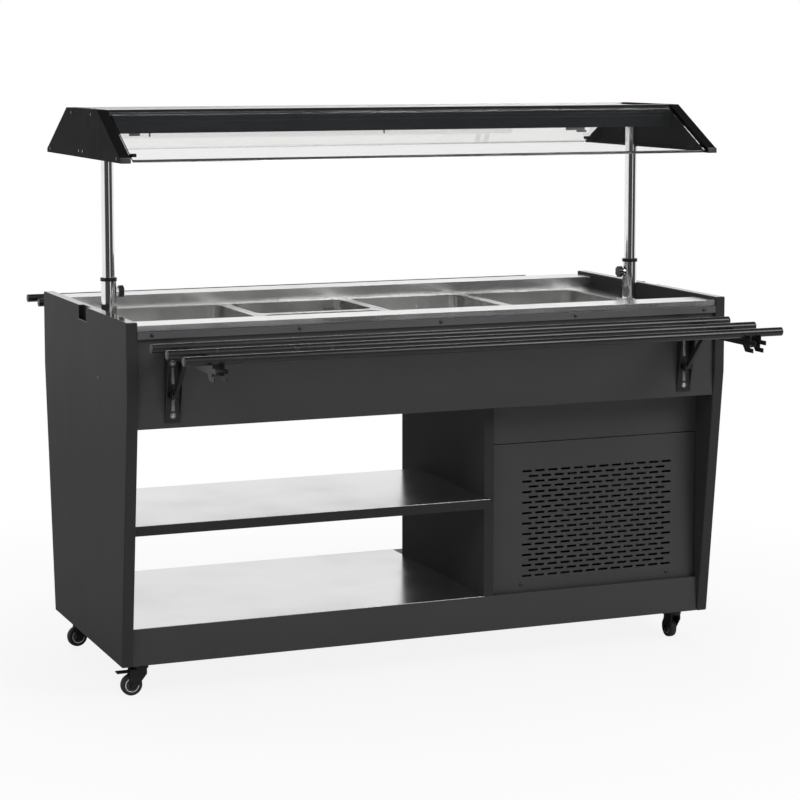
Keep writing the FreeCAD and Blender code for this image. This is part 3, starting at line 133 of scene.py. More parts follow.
# Washers and pressed tracks of the wall plates
WASHER_BORE = 0.0048
WASHER_RADIUS = 0.0072
WASHER_THICK = 0.001
WASHER_BEVEL = 0.0004
TRACK_HALF_WIDTH = 0.004
TRACK_RISE = 0.0009
TRACK_SUNK = 0.0002
TRACK_LEVELS = ((0.668, 0.694), (0.729, 0.766))

# Plugs in the ends of the tray rails
RAILS_PER_SIDE = 3
PLUG_SHANK = 0.006
PLUG_RIM = 0.0012
PLUG_DEPTH = 0.0022
PLUG_CROWN = 0.0005

# Rivets on the canopy's end caps: the dome as shares of the radius, with heights, and places across and up
RIVET_RADIUS = 0.004
RIVET_DOME = ((1, -0.0004), (1, 0.0003), (0.8, 0.001), (0.4, 0.0013))
RIVET_PLACES = ((-0.086, 1.3185), (0.092, 1.3185), (-0.3, 1.226), (0.3, 1.226))

# Grey blocks at the end caps' lower corners: a painted highlight where the caps' front lips catch the light
BLOCK_HEIGHT = 0.0125
BLOCK_REACH = 0.0235
BLOCK_SETBACK = 0.0005
BLOCK_LAP = 0.004
BLOCK_PROUD = 0.0012
BLOCK_DROP = 0.0004
BLOCK_ROUNDING = 0.0012

# Small clips on the faces of the end caps
CLIP_PLACES = (-0.009, 0.026)
CLIP_LEVELS = (1.2285, 1.2345)
CLIP_HALF_WIDTH = 0.0042
CLIP_SUNK = 0.002
CLIP_PROUD = 0.0008
CLIP_ROUNDING = 0.0006

# What hangs under the front fascia: two ends along the canopy and a drop
HOLDER_TAB = (-0.669, -0.644, 0.006)
LEFT_PIN = (-0.6225, -0.6195, 0.008)
MIDDLE_PIN = (-0.0455, -0.0425, 0.007)
DRIVER_TAB = (0.437, 0.487, 0.0065)
LEAD_BOOT = (0.466, 0.492, 0.0115)
TAB_FRONT = 0.003
TAB_BACK = 0.009
TAB_LAP = 0.001
TAB_ROUNDING = 0.0006
BOOT_FRONT = 0.004
BOOT_BACK = 0.008
BOOT_TOP = 0.006

# Beads along the glass's low edges
BEAD_HALF_LENGTH = 0.715
BEAD_HALF_THICK = 0.0012
BEAD_HALF_WIDTH = 0.0027
BEAD_SETBACK = 0.0008
BEAD_ROUNDING = 0.0008

# Ferrules and clips of the lamp tube
FERRULE_LENGTH = 0.018
FERRULE_WALL = 0.0004
FERRULE_BULGE = 0.0006
LAMP_CLIP_PLACES = (-0.42, -0.02, 0.36)
LAMP_CLIP_GAP = 0.0004
LAMP_CLIP_REACH = 0.0018
LAMP_CLIP_HALF_LENGTH = 0.005
STEM_HALF_LENGTH = 0.004
STEM_HALF_THICK = 0.0015
STEM_START = 0.0012
BATTEN_HEIGHT = 0.025

# Castors: the tread as depths below its radius, with distances from its middle, then the hub, ring and nuts
TYRE_RADIUS = 0.025
RIM_SHARE = 0.66
TREAD_EDGE = 0.0082
TREAD = ((0.0042, -0.009), (0.0012, -0.0078), (0.0002, -0.005), (0, -0.0012))
HUB_BORE = 0.0034
HUB_BOSS = 0.0068
HUB_HALF_WIDTH = 0.0086
HUB_STEP = (0.0074, -0.0066)
HUB_WEB = 0.0052
HUB_FLANGE = 0.0074
HUB_LAP = 0.0003
RING_INNER = 0.86
RING_LAP = 0.0002
RING_FACE = 0.0076
RING_HALF_THICK = 0.001
RING_SHOULDER = 0.0006
NUT_RADIUS = 0.0058
NUT_BASE = 0.0132
NUT_HEIGHT = 0.0026
NUT_CROWN = 1.25
DUST_COVER = [(0.0146, 0.0042), (0.0178, 0.0042), (0.0186, 0.0012), (0.0186, -0.0032), (0.0178, -0.0048),
              (0.0172, -0.0048), (0.0172, 0.0006), (0.0146, 0.0006)]

# Tick marks round the dial, with angles in degrees, and the rocker's bezel
TICKS = 8
DIAL_START = 225
DIAL_SWEEP = 270
TICK_RING = 0.0185
TICK_LENGTH = 0.0032
END_TICK_LENGTH = 0.004
TICK_HALF_WIDTH = 0.0003
TICK_SUNK = 0.00025
TICK_PROUD = 0.00015
TICK_ROUNDING = 0.00008
BEZEL_HALF_WIDTH = 0.0168
BEZEL_HALF_HEIGHT = 0.0098
BEZEL_WALL = 0.0021
BEZEL_SUNK = 0.0005
BEZEL_PROUD = 0.0022
BEZEL_ROUNDING = 0.0008
HOLE_REACH = 0.01
HOLE_ROUNDING = 0.0005

# The compressor's pot, its weld flange, and the rubber grommets on its feet
POT_PLACE = (0.33, 0.06)
POT_RADIUS = 0.08
FLANGE_RISE = 0.085
FLANGE_LAP = 0.002
FLANGE_WIDTH = 0.0045
FLANGE_HALF_THICK = 0.003
FOOT_OFFSETS = (0.085, 0.065)
GROMMET_LIFT = 0.0008
GROMMET_BORE = 0.0092
GROMMET_RADIUS = 0.0125
GROMMET_WAIST = 0.0108
GROMMET_HEIGHT = 0.0125
GROMMET_GROOVE = (0.004, 0.006, 0.008)

# The cover over a fixing in the left panel: its place along and up, and its shape
COVER_PLACE = (-0.133, 0.718)
COVER_STEPS = [(0.0045, -0.002), (0.0045, 0), (0.0038, 0.0004), (0.0015, 0.0005)]

# The turn that lays a piece modelled along +Z along another axis
AXES = {"X": (0, math.pi / 2, 0), "-X": (0, -math.pi / 2, 0), "Y": (-math.pi / 2, 0, 0),
        "-Y": (math.pi / 2, 0, 0), "Z": (0, 0, 0)}


# ---------------------------------------------------------------- modelling by hand

def clear():
    """Leaves nothing selected."""
    bpy.ops.object.select_all(action="DESELECT")


def pick(*items):
    """Selects some pieces alone, the first one active."""
    clear()
    for item in items:
        item.select_set(True)
    bpy.context.view_layer.objects.active = items[0]


def settle(item, name):
    """Names a piece and puts its place into its mesh."""
    pick(item)
    bpy.ops.object.transform_apply(location=True, rotation=True, scale=True)
    item.name = name
    item.data.name = name
    return item


def edit(item):
    """Opens a piece in edit mode with everything selected."""
    pick(item)
    bpy.ops.object.mode_set(mode="EDIT")
    bpy.ops.mesh.select_all(action="SELECT")


def close_edit():
    """Merges doubles, turns the faces outwards and leaves edit mode."""
    bpy.ops.mesh.select_all(action="SELECT")
    bpy.ops.mesh.remove_doubles(threshold=1e-6)
    bpy.ops.mesh.normals_make_consistent(inside=False)
    bpy.ops.object.mode_set(mode="OBJECT")


def smooth(item, degrees=35):
    """Smooth shading that keeps the sharp edges."""
    pick(item)
    bpy.ops.object.shade_smooth_by_angle(angle=math.radians(degrees))
    return item


def bar(name, low, high, rounding=ROUNDING):
    """A block between two corners with rounded edges."""
    clear()
    centre = [(a + b) / 2 for a, b in zip(low, high)]
    bpy.ops.mesh.primitive_cube_add(size=1, location=centre, scale=[b - a for a, b in zip(low, high)])
    item = settle(bpy.context.object, name)
    edit(item)
    bpy.ops.mesh.bevel(offset=rounding, segments=2, affect="EDGES")
    close_edit()
    return smooth(item)


def turned(name, steps, at=(0, 0, 0), axis="Z", sides=40, hollow=False):
    """A piece turned on a lathe: each step is a radius and a height, and a hollow piece closes its ring."""
    radius, height = steps[0]
    clear()
    bpy.ops.mesh.primitive_circle_add(vertices=sides, radius=radius, location=(0, 0, height),
                                      fill_type="NOTHING" if hollow else "NGON")
    item = settle(bpy.context.object, name)
    edit(item)
    for next_radius, next_height in steps[1:] + (steps[:1] if hollow else []):
        bpy.ops.mesh.extrude_region_move(TRANSFORM_OT_translate={"value": (0, 0, next_height - height)})
        ratio = next_radius / radius
        bpy.ops.transform.resize(value=(ratio, ratio, 1), center_override=(0, 0, next_height))
        radius, height = next_radius, next_height
    close_edit()
    item.rotation_euler = AXES[axis] if isinstance(axis, str) else axis
    item.location = at
    return smooth(settle(item, name))


def both_sides(half):
    """A turned ring's steps from those below its middle: the same steps, then their mirror image."""
    return half + [(radius, -height) for radius, height in reversed(half)]


def repeat(item, name, offsets):
    """One piece made of a copy at each offset, each copy with its own mesh."""
    copies = []
    for offset in offsets:
        copy = item.copy()
        copy.data = item.data.copy()
        bpy.context.scene.collection.objects.link(copy)
        copy.location = offset
        copies.append(copy)
    bpy.data.objects.remove(item)
    return join(name, *copies)


def join(name, *items):
    """Several parts as one piece."""
    pick(*items)
    bpy.ops.object.join()
    return settle(bpy.context.object, name)


def carve(item, tool):
    """Cuts one piece by another, which is used up."""
    pick(item)
    cutter = item.modifiers.new("cut", "BOOLEAN")
    cutter.object = tool
    cutter.operation = "DIFFERENCE"
    bpy.ops.object.modifier_apply(modifier="cut")
    bpy.data.objects.remove(tool)
    return item


def dress(item, body, slot, material, *replaced):
    """Fixes a piece to its body and gives it its material; the slot is not used."""
    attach(item, body)
    if replaced:
        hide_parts(*replaced)
    item.data.materials.clear()
    item.data.materials.append(material)
    return item


# ---------------------------------------------------------------- shader groups

def start_group(name, inputs, outputs):
    """An empty node group with named sockets."""
    group = bpy.data.node_groups.new(name, "ShaderNodeTree")
    for title, value in inputs:
        socket = group.interface.new_socket(title, in_out="INPUT", socket_type="NodeSocketFloat")
        socket.default_value = value
    for title in outputs:
        kind = "NodeSocketVector" if title == "Normal" else "NodeSocketFloat"
        group.interface.new_socket(title, in_out="OUTPUT", socket_type=kind)
    return group, group.nodes.new("NodeGroupInput"), group.nodes.new("NodeGroupOutput")


def fill(item, values):
    """Sets a node's unlinked sockets, with underscores for the spaces in their names."""
    for key, value in values.items():
        item.inputs[key.replace("_", " ")].default_value = value


def add(tree, kind, settings=None, **inputs):
    """A node with its settings and its unlinked values."""
    item = tree.nodes.new(kind)
    for key, value in (settings or {}).items():
        setattr(item, key, value)
    fill(item, inputs)
    return item


def wire(tree, source, output, target, socket):
    """Joins an output to a socket."""
    tree.links.new(source.outputs[output], target.inputs[socket])


def combine(tree, operation, source_a, output_a, source_b, output_b):
    """Joins two values by a product, a sum or the larger one."""
    item = add(tree, "ShaderNodeMath", {"operation": operation})
    wire(tree, source_a, output_a, item, 0)
    wire(tree, source_b, output_b, item, 1)
    return item


def size_of(tree, source, output):
    """A value without its sign."""
    item = add(tree, "ShaderNodeMath", {"operation": "ABSOLUTE"})
    wire(tree, source, output, item, 0)
    return item


def parts_of(tree, output):
    """The three parts of a place on the piece, or of the way that its face looks."""
    place = add(tree, "ShaderNodeTexCoord")
    parts = add(tree, "ShaderNodeSeparateXYZ")
    wire(tree, place, output, parts, "Vector")
    return parts


def ramp(tree, source, output, low, high, to_low=0.0, to_high=1.0):
    """Maps a value from one range to another and clamps it."""
    item = add(tree, "ShaderNodeMapRange", {"clamp": True})
    for key, value in zip(("From Min", "From Max", "To Min", "To Max"), (low, high, to_low, to_high)):
        item.inputs[key].default_value = value
    wire(tree, source, output, item, "Value")
    return item


def make_grain():
    """Fine even grain with soft patches, as on powder coat and moulded plastic."""
    group, source, result = start_group("surface_grain", [("Fineness", 900.0), ("Patch Size", 5.0)],
                                        ["Grain", "Patches"])
    place = add(group, "ShaderNodeTexCoord")
    fine = add(group, "ShaderNodeTexNoise", Detail=3.0, Roughness=0.6)
    patches = add(group, "ShaderNodeTexNoise", Detail=4.0, Roughness=0.55, Distortion=0.4)
    for item, socket, output in ((fine, "Fineness", "Grain"), (patches, "Patch Size", "Patches")):
        wire(group, place, "Object", item, "Vector")
        wire(group, source, socket, item, "Scale")
        wire(group, item, "Fac", result, output)
    return group


def make_brushing():
    """Long fine scratches along one direction, and the cloudy sheen across them."""
    group, source, result = start_group("brushed_lines",
                                        [("Along X", 6.0), ("Along Y", 700.0), ("Along Z", 700.0)],
                                        ["Lines", "Sheen"])
    place = add(group, "ShaderNodeTexCoord")
    stretch = add(group, "ShaderNodeCombineXYZ")
    for axis in "XYZ":
        wire(group, source, f"Along {axis}", stretch, axis)
    scaled = add(group, "ShaderNodeVectorMath", {"operation": "MULTIPLY"})
    wire(group, place, "Object", scaled, 0)
    wire(group, stretch, "Vector", scaled, 1)
    lines = add(group, "ShaderNodeTexNoise", Scale=1.0, Detail=5.0, Roughness=0.7)
    wire(group, scaled, "Vector", lines, "Vector")
    sheen = add(group, "ShaderNodeTexNoise", Scale=4.0, Detail=3.0, Roughness=0.5)
    wire(group, place, "Object", sheen, "Vector")
    wire(group, lines, "Fac", result, "Lines")
    wire(group, sheen, "Fac", result, "Sheen")
    return group


def make_soft_edges():
    """Rounded light on sharp corners, and a mask of those corners."""
    group, source, result = start_group("soft_edges", [("Radius", 0.001)], ["Normal", "Edge"])
    rounded = add(group, "ShaderNodeBevel", {"samples": 4})
    wire(group, source, "Radius", rounded, "Radius")
    flat = add(group, "ShaderNodeNewGeometry")
    match = add(group, "ShaderNodeVectorMath", {"operation": "DOT_PRODUCT"})
    wire(group, rounded, "Normal", match, 0)
    wire(group, flat, "Normal", match, 1)
    edge = ramp(group, match, "Value", 0.995, 0.85)
    wire(group, rounded, "Normal", result, "Normal")
    wire(group, edge, "Result", result, "Edge")
    return group


def make_marks():
    """Faint wipe marks and fingerprints that change only the shine."""
    group, source, result = start_group("wipe_marks", [("Size", 9.0)], ["Marks"])
    place = add(group, "ShaderNodeTexCoord")
    swirl = add(group, "ShaderNodeTexNoise", Detail=5.0, Roughness=0.6, Distortion=1.5)
    wire(group, place, "Object", swirl, "Vector")
    wire(group, source, "Size", swirl, "Scale")
    shaped = ramp(group, swirl, "Fac", 0.35, 0.75)
    wire(group, shaped, "Result", result, "Marks")
    return group


surface_grain = make_grain()
brushed_lines = make_brushing()
soft_edges = make_soft_edges()
wipe_marks = make_marks()


# ---------------------------------------------------------------- materials

def start_material(name, metallic=0.0, **settings):
    """A material's tree and its shader, with what is the same all over the surface."""
    material = bpy.data.materials.new(name)
    material.use_nodes = True
    tree = material.node_tree
    shader = tree.nodes["Principled BSDF"]
    fill(shader, {"Metallic": metallic, **settings})
    return material, tree, shader


def place_group(tree, group, **values):
    """A shader group with its own values."""
    item = tree.nodes.new("ShaderNodeGroup")
    item.node_tree = group
    fill(item, values)
    return item


def mix_tones(tree, source, output, tone_a, tone_b):
    """Blends two tones by a mask."""
    item = add(tree, "ShaderNodeMix", {"data_type": "RGBA"}, A=(*tone_a, 1), B=(*tone_b, 1))
    wire(tree, source, output, item, "Factor")
    return item


def mottle(tree, grain, tone):
    """A tone that varies a little from patch to patch."""
    return mix_tones(tree, grain, "Patches", scaled_tone(tone, MOTTLE_DARK), scaled_tone(tone, MOTTLE_LIGHT))


def blend_over(tree, below, mask, output, tone):
    """Lays a tone over a colour where the mask is high."""
    item = add(tree, "ShaderNodeMix", {"data_type": "RGBA"}, B=(*tone, 1))
    wire(tree, mask, output, item, "Factor")
    wire(tree, below, "Result", item, "A")
    return item


def scaled_tone(tone, factor):
    """A tone made lighter or darker."""
    return tuple(min(1.0, part * factor) for part in tone)


def finish_bump(tree, shader, height, output, edges, depth, strength):
    """Grain in the light, over softened corners."""
    bump = add(tree, "ShaderNodeBump", Strength=strength, Distance=depth)
    wire(tree, height, output, bump, "Height")
    wire(tree, edges, "Normal", bump, "Normal")
    wire(tree, bump, "Normal", shader, "Normal")


def smooth_top(tree, roughness, top_roughness):
    """A roughness that drops on the faces that look up, which hands and cloths keep polished."""
    top = ramp(tree, parts_of(tree, "Normal"), "Z", SQUARE_FROM, SQUARE_FULL)
    item = add(tree, "ShaderNodeMix", {"data_type": "FLOAT"}, B=top_roughness)
    wire(tree, top, "Result", item, "Factor")
    wire(tree, roughness, "Result", item, "A")
    return item


def coated(name, tone, roughness=0.42, fineness=1100.0, depth=0.00012, edge_radius=0.001, edge_highlight=1.7,
           metallic=0.0, strength=0.5, shine=0.3, top_roughness=None):
    """Powder coat, paint or moulded plastic: fine grain, soft patches, painted highlights on the edges and
    wipe marks.
    """
    material, tree, shader = start_material(name, metallic, Specular_IOR_Level=shine)
    grain = place_group(tree, surface_grain, Fineness=fineness)
    edges = place_group(tree, soft_edges, Radius=edge_radius)
    marks = place_group(tree, wipe_marks)
    # Painted highlight: the edges get a lighter copy of the tone, raised by the edge factor.
    edge_highlighted = blend_over(tree, mottle(tree, grain, tone), edges, "Edge", scaled_tone(tone, edge_highlight))
    wire(tree, edge_highlighted, "Result", shader, "Base Color")
    gloss = ramp(tree, marks, "Marks", 0.0, 1.0, roughness - CLEAN_GLOSS, roughness + WIPED_GLOSS)
    if top_roughness is not None:
        gloss = smooth_top(tree, gloss, top_roughness)
    wire(tree, gloss, "Result", shader, "Roughness")
    finish_bump(tree, shader, grain, "Grain", edges, depth, strength)
    return material


def paint_rim_highlight(material, tone):
    """Paints the roof frame's inner faces, over the sheet that lies in it, pale: a painted highlight along
    the rim.
    """
    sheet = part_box("roof_sheet")[1]
    tree = material.node_tree
    shader = tree.nodes["Principled BSDF"]
    coat = shader.inputs["Base Color"].links[0].from_node
    parts = parts_of(tree, "Object")
    inside = ramp(tree, size_of(tree, parts, "Y"), "Value", sheet.y + RIM_DEPTH, sheet.y + RIM_FADE)
    over = ramp(tree, parts, "Z", sheet.z - RIM_FADE, sheet.z)
    rim_highlight = combine(tree, "MULTIPLY", inside, "Result", over, "Result")
    shown = blend_over(tree, coat, rim_highlight, "Value", tone)
    wire(tree, shown, "Result", shader, "Base Color")


def brushed(name, tone, roughness=0.3, along="X", depth=0.00004, edge_radius=0.0008, strength=0.35):
    """Brushed metal: fine lines along one direction."""
    material, tree, shader = start_material(name, 1.0)
    spacing = {f"Along_{axis}": LINES_ALONG if axis == along else LINES_ACROSS for axis in "XYZ"}
    lines = place_group(tree, brushed_lines, **spacing)
    edges = place_group(tree, soft_edges, Radius=edge_radius)
    body = mix_tones(tree, lines, "Lines", scaled_tone(tone, LINE_DARK), scaled_tone(tone, LINE_LIGHT))
    wire(tree, body, "Result", shader, "Base Color")
    shine = ramp(tree, lines, "Sheen", 0.3, 0.7, roughness - SHEEN_CLEAR, roughness + SHEEN_CLOUDY)
    wire(tree, shine, "Result", shader, "Roughness")
    finish_bump(tree, shader, lines, "Lines", edges, depth, strength)
    return material


def polished(name, tone, roughness=0.06):
    """Plated or polished metal with faint wipe marks."""
    material, tree, shader = start_material(name, 1.0)
    marks = place_group(tree, wipe_marks, Size=30.0)
    edges = place_group(tree, soft_edges, Radius=0.0005)
    body = mix_tones(tree, marks, "Marks", tone, scaled_tone(tone, WIPED_METAL))
    wire(tree, body, "Result", shader, "Base Color")
    shine = ramp(tree, marks, "Marks", 0.0, 1.0, roughness, roughness + WIPED_SHINE)
    wire(tree, shine, "Result", shader, "Roughness")
    wire(tree, edges, "Normal", shader, "Normal")
    return material


def board_material(name, tone, side_shine):
    """Coated board: smooth dark faces, an edging of its own tone, and painted highlights on the corners."""
    material, tree, shader = start_material(name)
    grain = place_group(tree, surface_grain, Fineness=700.0, Patch_Size=2.2)
    edges = place_group(tree, soft_edges, Radius=0.0012)
    marks = place_group(tree, wipe_marks, Size=5.0)
    parts = parts_of(tree, "Normal")
    edging = ramp(tree, size_of(tree, parts, "Y"), "Value", SQUARE_FROM, SQUARE_FULL)
    banded = blend_over(tree, mottle(tree, grain, tone), edging, "Result", BOARD_EDGING)
    # Painted highlight: the corners are laid over with a lighter tone.
    edge_highlighted = blend_over(tree, banded, edges, "Edge", BOARD_EDGE_HIGHLIGHT)
    wire(tree, edge_highlighted, "Result", shader, "Base Color")
    gloss = ramp(tree, marks, "Marks", 0.0, 1.0, *BOARD_SIDE_GLOSS)
    wire(tree, smooth_top(tree, gloss, BOARD_TOP_GLOSS), "Result", shader, "Roughness")
    shine = ramp(tree, parts, "Z", SQUARE_FROM, SQUARE_FULL, side_shine, 1.0)
    wire(tree, shine, "Result", shader, "Specular IOR Level")
    finish_bump(tree, shader, grain, "Grain", edges, depth=0.0001, strength=0.35)
    return material


def glass_material(name, tone):
    """Clear glass with a faint cast and a few wipe marks."""
    material, tree, shader = start_material(name, Transmission_Weight=1.0, IOR=1.45)
    marks = place_group(tree, wipe_marks, Size=7.0)
    tint = mix_tones(tree, marks, "Marks", tone, scaled_tone(tone, 0.98))
    wire(tree, tint, "Result", shader, "Base Color")
    shine = ramp(tree, marks, "Marks", 0.0, 1.0, 0.0, 0.03)
    wire(tree, shine, "Result", shader, "Roughness")
    return material


def lamp_material():
    """A lit white tube, dimmer at its two ends."""
    material, tree, shader = start_material("lamp_white", Roughness=0.25, Emission_Strength=2.8)
    low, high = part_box("lamp_tube")
    parts = parts_of(tree, "Object")
    left = ramp(tree, parts, "X", low.x, low.x + LAMP_DIM_END)
    right = ramp(tree, parts, "X", high.x, high.x - LAMP_DIM_END)
    lit = combine(tree, "MULTIPLY", left, "Result", right, "Result")
    glow = mix_tones(tree, lit, "Value", LAMP_DIM, LAMP_LIT)
    wire(tree, glow, "Result", shader, "Emission Color")
    wire(tree, glow, "Result", shader, "Base Color")
    return material


def rubber_material():
    """Hard black rubber with moulding grain and a dusty tread."""
    material, tree, shader = start_material("castor_tyre", Specular_IOR_Level=0.35)
    grain = place_group(tree, surface_grain, Fineness=1600.0, Patch_Size=60.0)
    edges = place_group(tree, soft_edges, Radius=0.0006)
    body = mix_tones(tree, grain, "Patches", TYRE_BLACK, TYRE_DUSTY)
    wire(tree, body, "Result", shader, "Base Color")
    shine = ramp(tree, grain, "Patches", 0.3, 0.7, 0.5, 0.75)
    wire(tree, shine, "Result", shader, "Roughness")
    finish_bump(tree, shader, grain, "Grain", edges, depth=0.0002, strength=0.5)
    return material


def foam_material():
    """Cream rigid foam with small open cells."""
    material, tree, shader = start_material("foam_cream")
    place = add(tree, "ShaderNodeTexCoord")
    cells = add(tree, "ShaderNodeTexVoronoi", Scale=420.0)
    wire(tree, place, "Object", cells, "Vector")
    edges = place_group(tree, soft_edges, Radius=0.002)
    body = mix_tones(tree, cells, "Distance", FOAM_PORE, FOAM_SKIN)
    wire(tree, body, "Result", shader, "Base Color")
    shine = ramp(tree, cells, "Distance", 0.0, 1.0, 0.8, 0.95)
    wire(tree, shine, "Result", shader, "Roughness")
    finish_bump(tree, shader, cells, "Distance", edges, depth=0.0006, strength=0.6)
    return material


charcoal = coated("charcoal_coat", (0.05, 0.05, 0.051), roughness=0.42)
board = board_material("laminate_board", (0.043, 0.043, 0.0445), side_shine=0.03)
# A lighter copy of the board for the divider: painted light on the divider, which stands in the shade of the
# bay.
bay_board = board_material("bay_board", (0.05, 0.05, 0.0515), side_shine=0.012)
# A darker copy of the charcoal coat for the middle shelf: painted shade on the shelf in the bay.
bay_coat = coated("bay_coat", (0.018, 0.018, 0.0185), roughness=0.45)
stainless = brushed("stainless", (0.74, 0.74, 0.735), roughness=0.2)
pan_steel = brushed("stainless_pan", (0.7, 0.7, 0.69), roughness=0.22, along="Y")
shelf_steel = brushed("stainless_shelf", (0.68, 0.68, 0.68), roughness=0.2)
zinc = brushed("casing_zinc", (0.5, 0.51, 0.52), roughness=0.4, along="Y")
bumper_grey = coated("bumper_grey", (0.1, 0.102, 0.107), roughness=0.45, fineness=600.0, edge_highlight=1.4)
grip_black = coated("grip_black", (0.014, 0.014, 0.016), roughness=0.35, fineness=1500.0)
cap_black = coated("cap_black", (0.006, 0.006, 0.0066), roughness=0.55, fineness=1500.0, edge_highlight=2.2,
                   shine=0.02)
# The grey of the painted highlight on the caps' front lips.
block_grey = coated("block_grey", (0.055, 0.055, 0.06), roughness=0.45, fineness=1500.0)
tab_grey = coated("tab_grey", (0.2, 0.2, 0.2), roughness=0.4, fineness=1500.0)
dark_steel = polished("dark_steel", (0.09, 0.09, 0.095), roughness=0.3)
knob_black = coated("knob_black", (0.015, 0.015, 0.017), roughness=0.25, fineness=2200.0, strength=0.2)
control_black = coated("control_black", (0.026, 0.026, 0.03), roughness=0.45, fineness=1300.0)
switch_black = coated("switch_black", (0.012, 0.012, 0.013), roughness=0.15, fineness=2500.0, strength=0.1)
mark_white = coated("mark_white", (0.75, 0.75, 0.73), roughness=0.5, fineness=2500.0, edge_highlight=1.0)
chrome = polished("post_chrome", (0.82, 0.82, 0.83), roughness=0.05)
screw_steel = polished("screw_steel", (0.62, 0.62, 0.62), roughness=0.22)
track_steel = polished("track_steel", (0.2, 0.2, 0.205), roughness=0.3)
roof_black = coated("roof_aluminium", (0.018, 0.022, 0.025), roughness=0.3, fineness=1800.0, metallic=0.5,
                    strength=0.06, edge_highlight=2.6, top_roughness=0.05)
# The roof frame's inner rim gets a painted pale highlight.
paint_rim_highlight(roof_black, (0.8, 0.79, 0.79))
roof_pale = brushed("roof_pale", (0.78, 0.77, 0.77), roughness=0.2)
batten_white = coated("batten_white", (0.7, 0.7, 0.69), roughness=0.4, fineness=1800.0, edge_highlight=1.1)
slide_black = coated("slide_black", (0.016, 0.016, 0.018), roughness=0.3, fineness=1200.0, edge_highlight=2.4)
rail_black = coated("rail_black", (0.011, 0.011, 0.0125), roughness=0.24, fineness=1500.0, strength=0.05,
                    shine=0.4)
rail_plug_grey = coated("rail_plug_grey", (0.075, 0.075, 0.08), roughness=0.4, fineness=1500.0)
copper = coated("copper_line", (0.62, 0.31, 0.18), roughness=0.3, metallic=1.0, fineness=300.0, edge_highlight=1.1,
                strength=0.15)
compressor_black = coated("compressor_black", (0.012, 0.012, 0.014), roughness=0.2, fineness=500.0,
                          strength=0.2)
fin_metal = brushed("fin_aluminium", (0.12, 0.122, 0.125), roughness=0.5, along="Z")
motor_black = coated("motor_black", (0.03, 0.03, 0.033), roughness=0.4)
fan_plastic = coated("fan_plastic", (0.018, 0.018, 0.02), roughness=0.4, fineness=1400.0)
castor_black = coated("castor_black", (0.013, 0.013, 0.015), roughness=0.28, fineness=1500.0, edge_highlight=2.2)
pedal_black = coated("pedal_steel", (0.02, 0.02, 0.023), roughness=0.35, fineness=900.0, edge_highlight=2.2)
hub_grey = coated("hub_grey", (0.09, 0.09, 0.1), roughness=0.35, fineness=1500.0)
tyre = rubber_material()
foam = foam_material()
glass = glass_material("clear_glass", (1.0, 1.0, 0.995))
edge_glass = glass_material("edge_glass", (0.34, 0.36, 0.35))
lamp = lamp_material()

CORNERS = ("front_left", "front_right", "rear_left", "rear_right")

MATERIALS = {
    board: ["end_panel_left", "end_panel_right"],
    bay_board: ["divider_panel"],
    bay_coat: ["middle_shelf"],
    charcoal: ["aprons", "plinth_frame", "service_panel", "louvre_door", "rear_service_panel"],
    stainless: ["worktop_ledges", "well_tank", "pan_support_bars"],
    pan_steel: ["pan_left", "pan_centre", "pan_right", "half_pan_front", "half_pan_rear"],
    shelf_steel: ["shelf_tops"],
    zinc: ["well_casing"],
    foam: ["well_insulation"],
    copper: ["refrigerant_circuit"],
    bumper_grey: ["bumper_bars"],
    grip_black: ["grip_cups"],
    screw_steel: ["cabinet_screws"],
    control_black: ["control_plate"],
    knob_black: ["thermostat_knob", "clamp_knob_left", "clamp_knob_right"],
    switch_black: ["power_switch"],
    compressor_black: ["compressor"],
    fin_metal: ["condenser"],
    motor_black: ["fan_motor"],
    fan_plastic: ["fan_blade"],
    chrome: ["post_sleeves", "posts"],
    cap_black: ["canopy_end_caps"],
    roof_black: ["roof_frame"],
    roof_pale: ["roof_sheet"],
    batten_white: ["lamp_batten"],
    lamp: ["lamp_tube"],
    glass: ["glass_front", "glass_rear"],
    slide_black: ["slide_wall_plates", "slide_arms_front", "slide_arms_rear", "slide_struts_front",
                  "slide_struts_rear"],
    rail_black: ["tray_rails_front", "tray_rails_rear"],
    castor_black: ["castor_plates", *(f"castor_fork_{corner}" for corner in CORNERS)],
    tyre: [f"castor_wheel_{corner}" for corner in CORNERS],
    pedal_black: ["brake_pedal_front_left", "brake_pedal_front_right"],
}


def paint_nodes():
    """Gives each node of the frame its material."""
    for material, names in MATERIALS.items():
        for name in names:
            item = nodes[name]
            item.data.materials.clear()
            item.data.materials.append(material)


# ---------------------------------------------------------------- fittings

def make_sleeve_collars():
    """The black ring on top of each sleeve, which the post slides through."""
    sleeve_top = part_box("post_sleeves")[1].z
    post_low, post_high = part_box("posts")
    post_radius = (post_high.y - post_low.y) / 2
    post_x = post_high.x - post_radius
    bore = post_radius + COLLAR_GAP
    outer, top = COLLAR_RADIUS, COLLAR_HEIGHT
    below, middle, above = [top * level for level in GROOVE_LEVELS]
    steps = [(bore, 0), (outer - COLLAR_FOOT, 0), (outer, COLLAR_FOOT), (outer, below),
             (outer - COLLAR_GROOVE, middle), (outer, above), (outer, top - COLLAR_EDGE),
             (outer - COLLAR_EDGE, top), (bore, top)]
    ring = turned("ring", steps, at=(0, 0, sleeve_top - COLLAR_LAP), sides=64, hollow=True)
    rings = repeat(ring, "sleeve_collars", [(-post_x, 0, 0), (post_x, 0, 0)])
    dress(rings, "cabinet", "knob_black", knob_black)


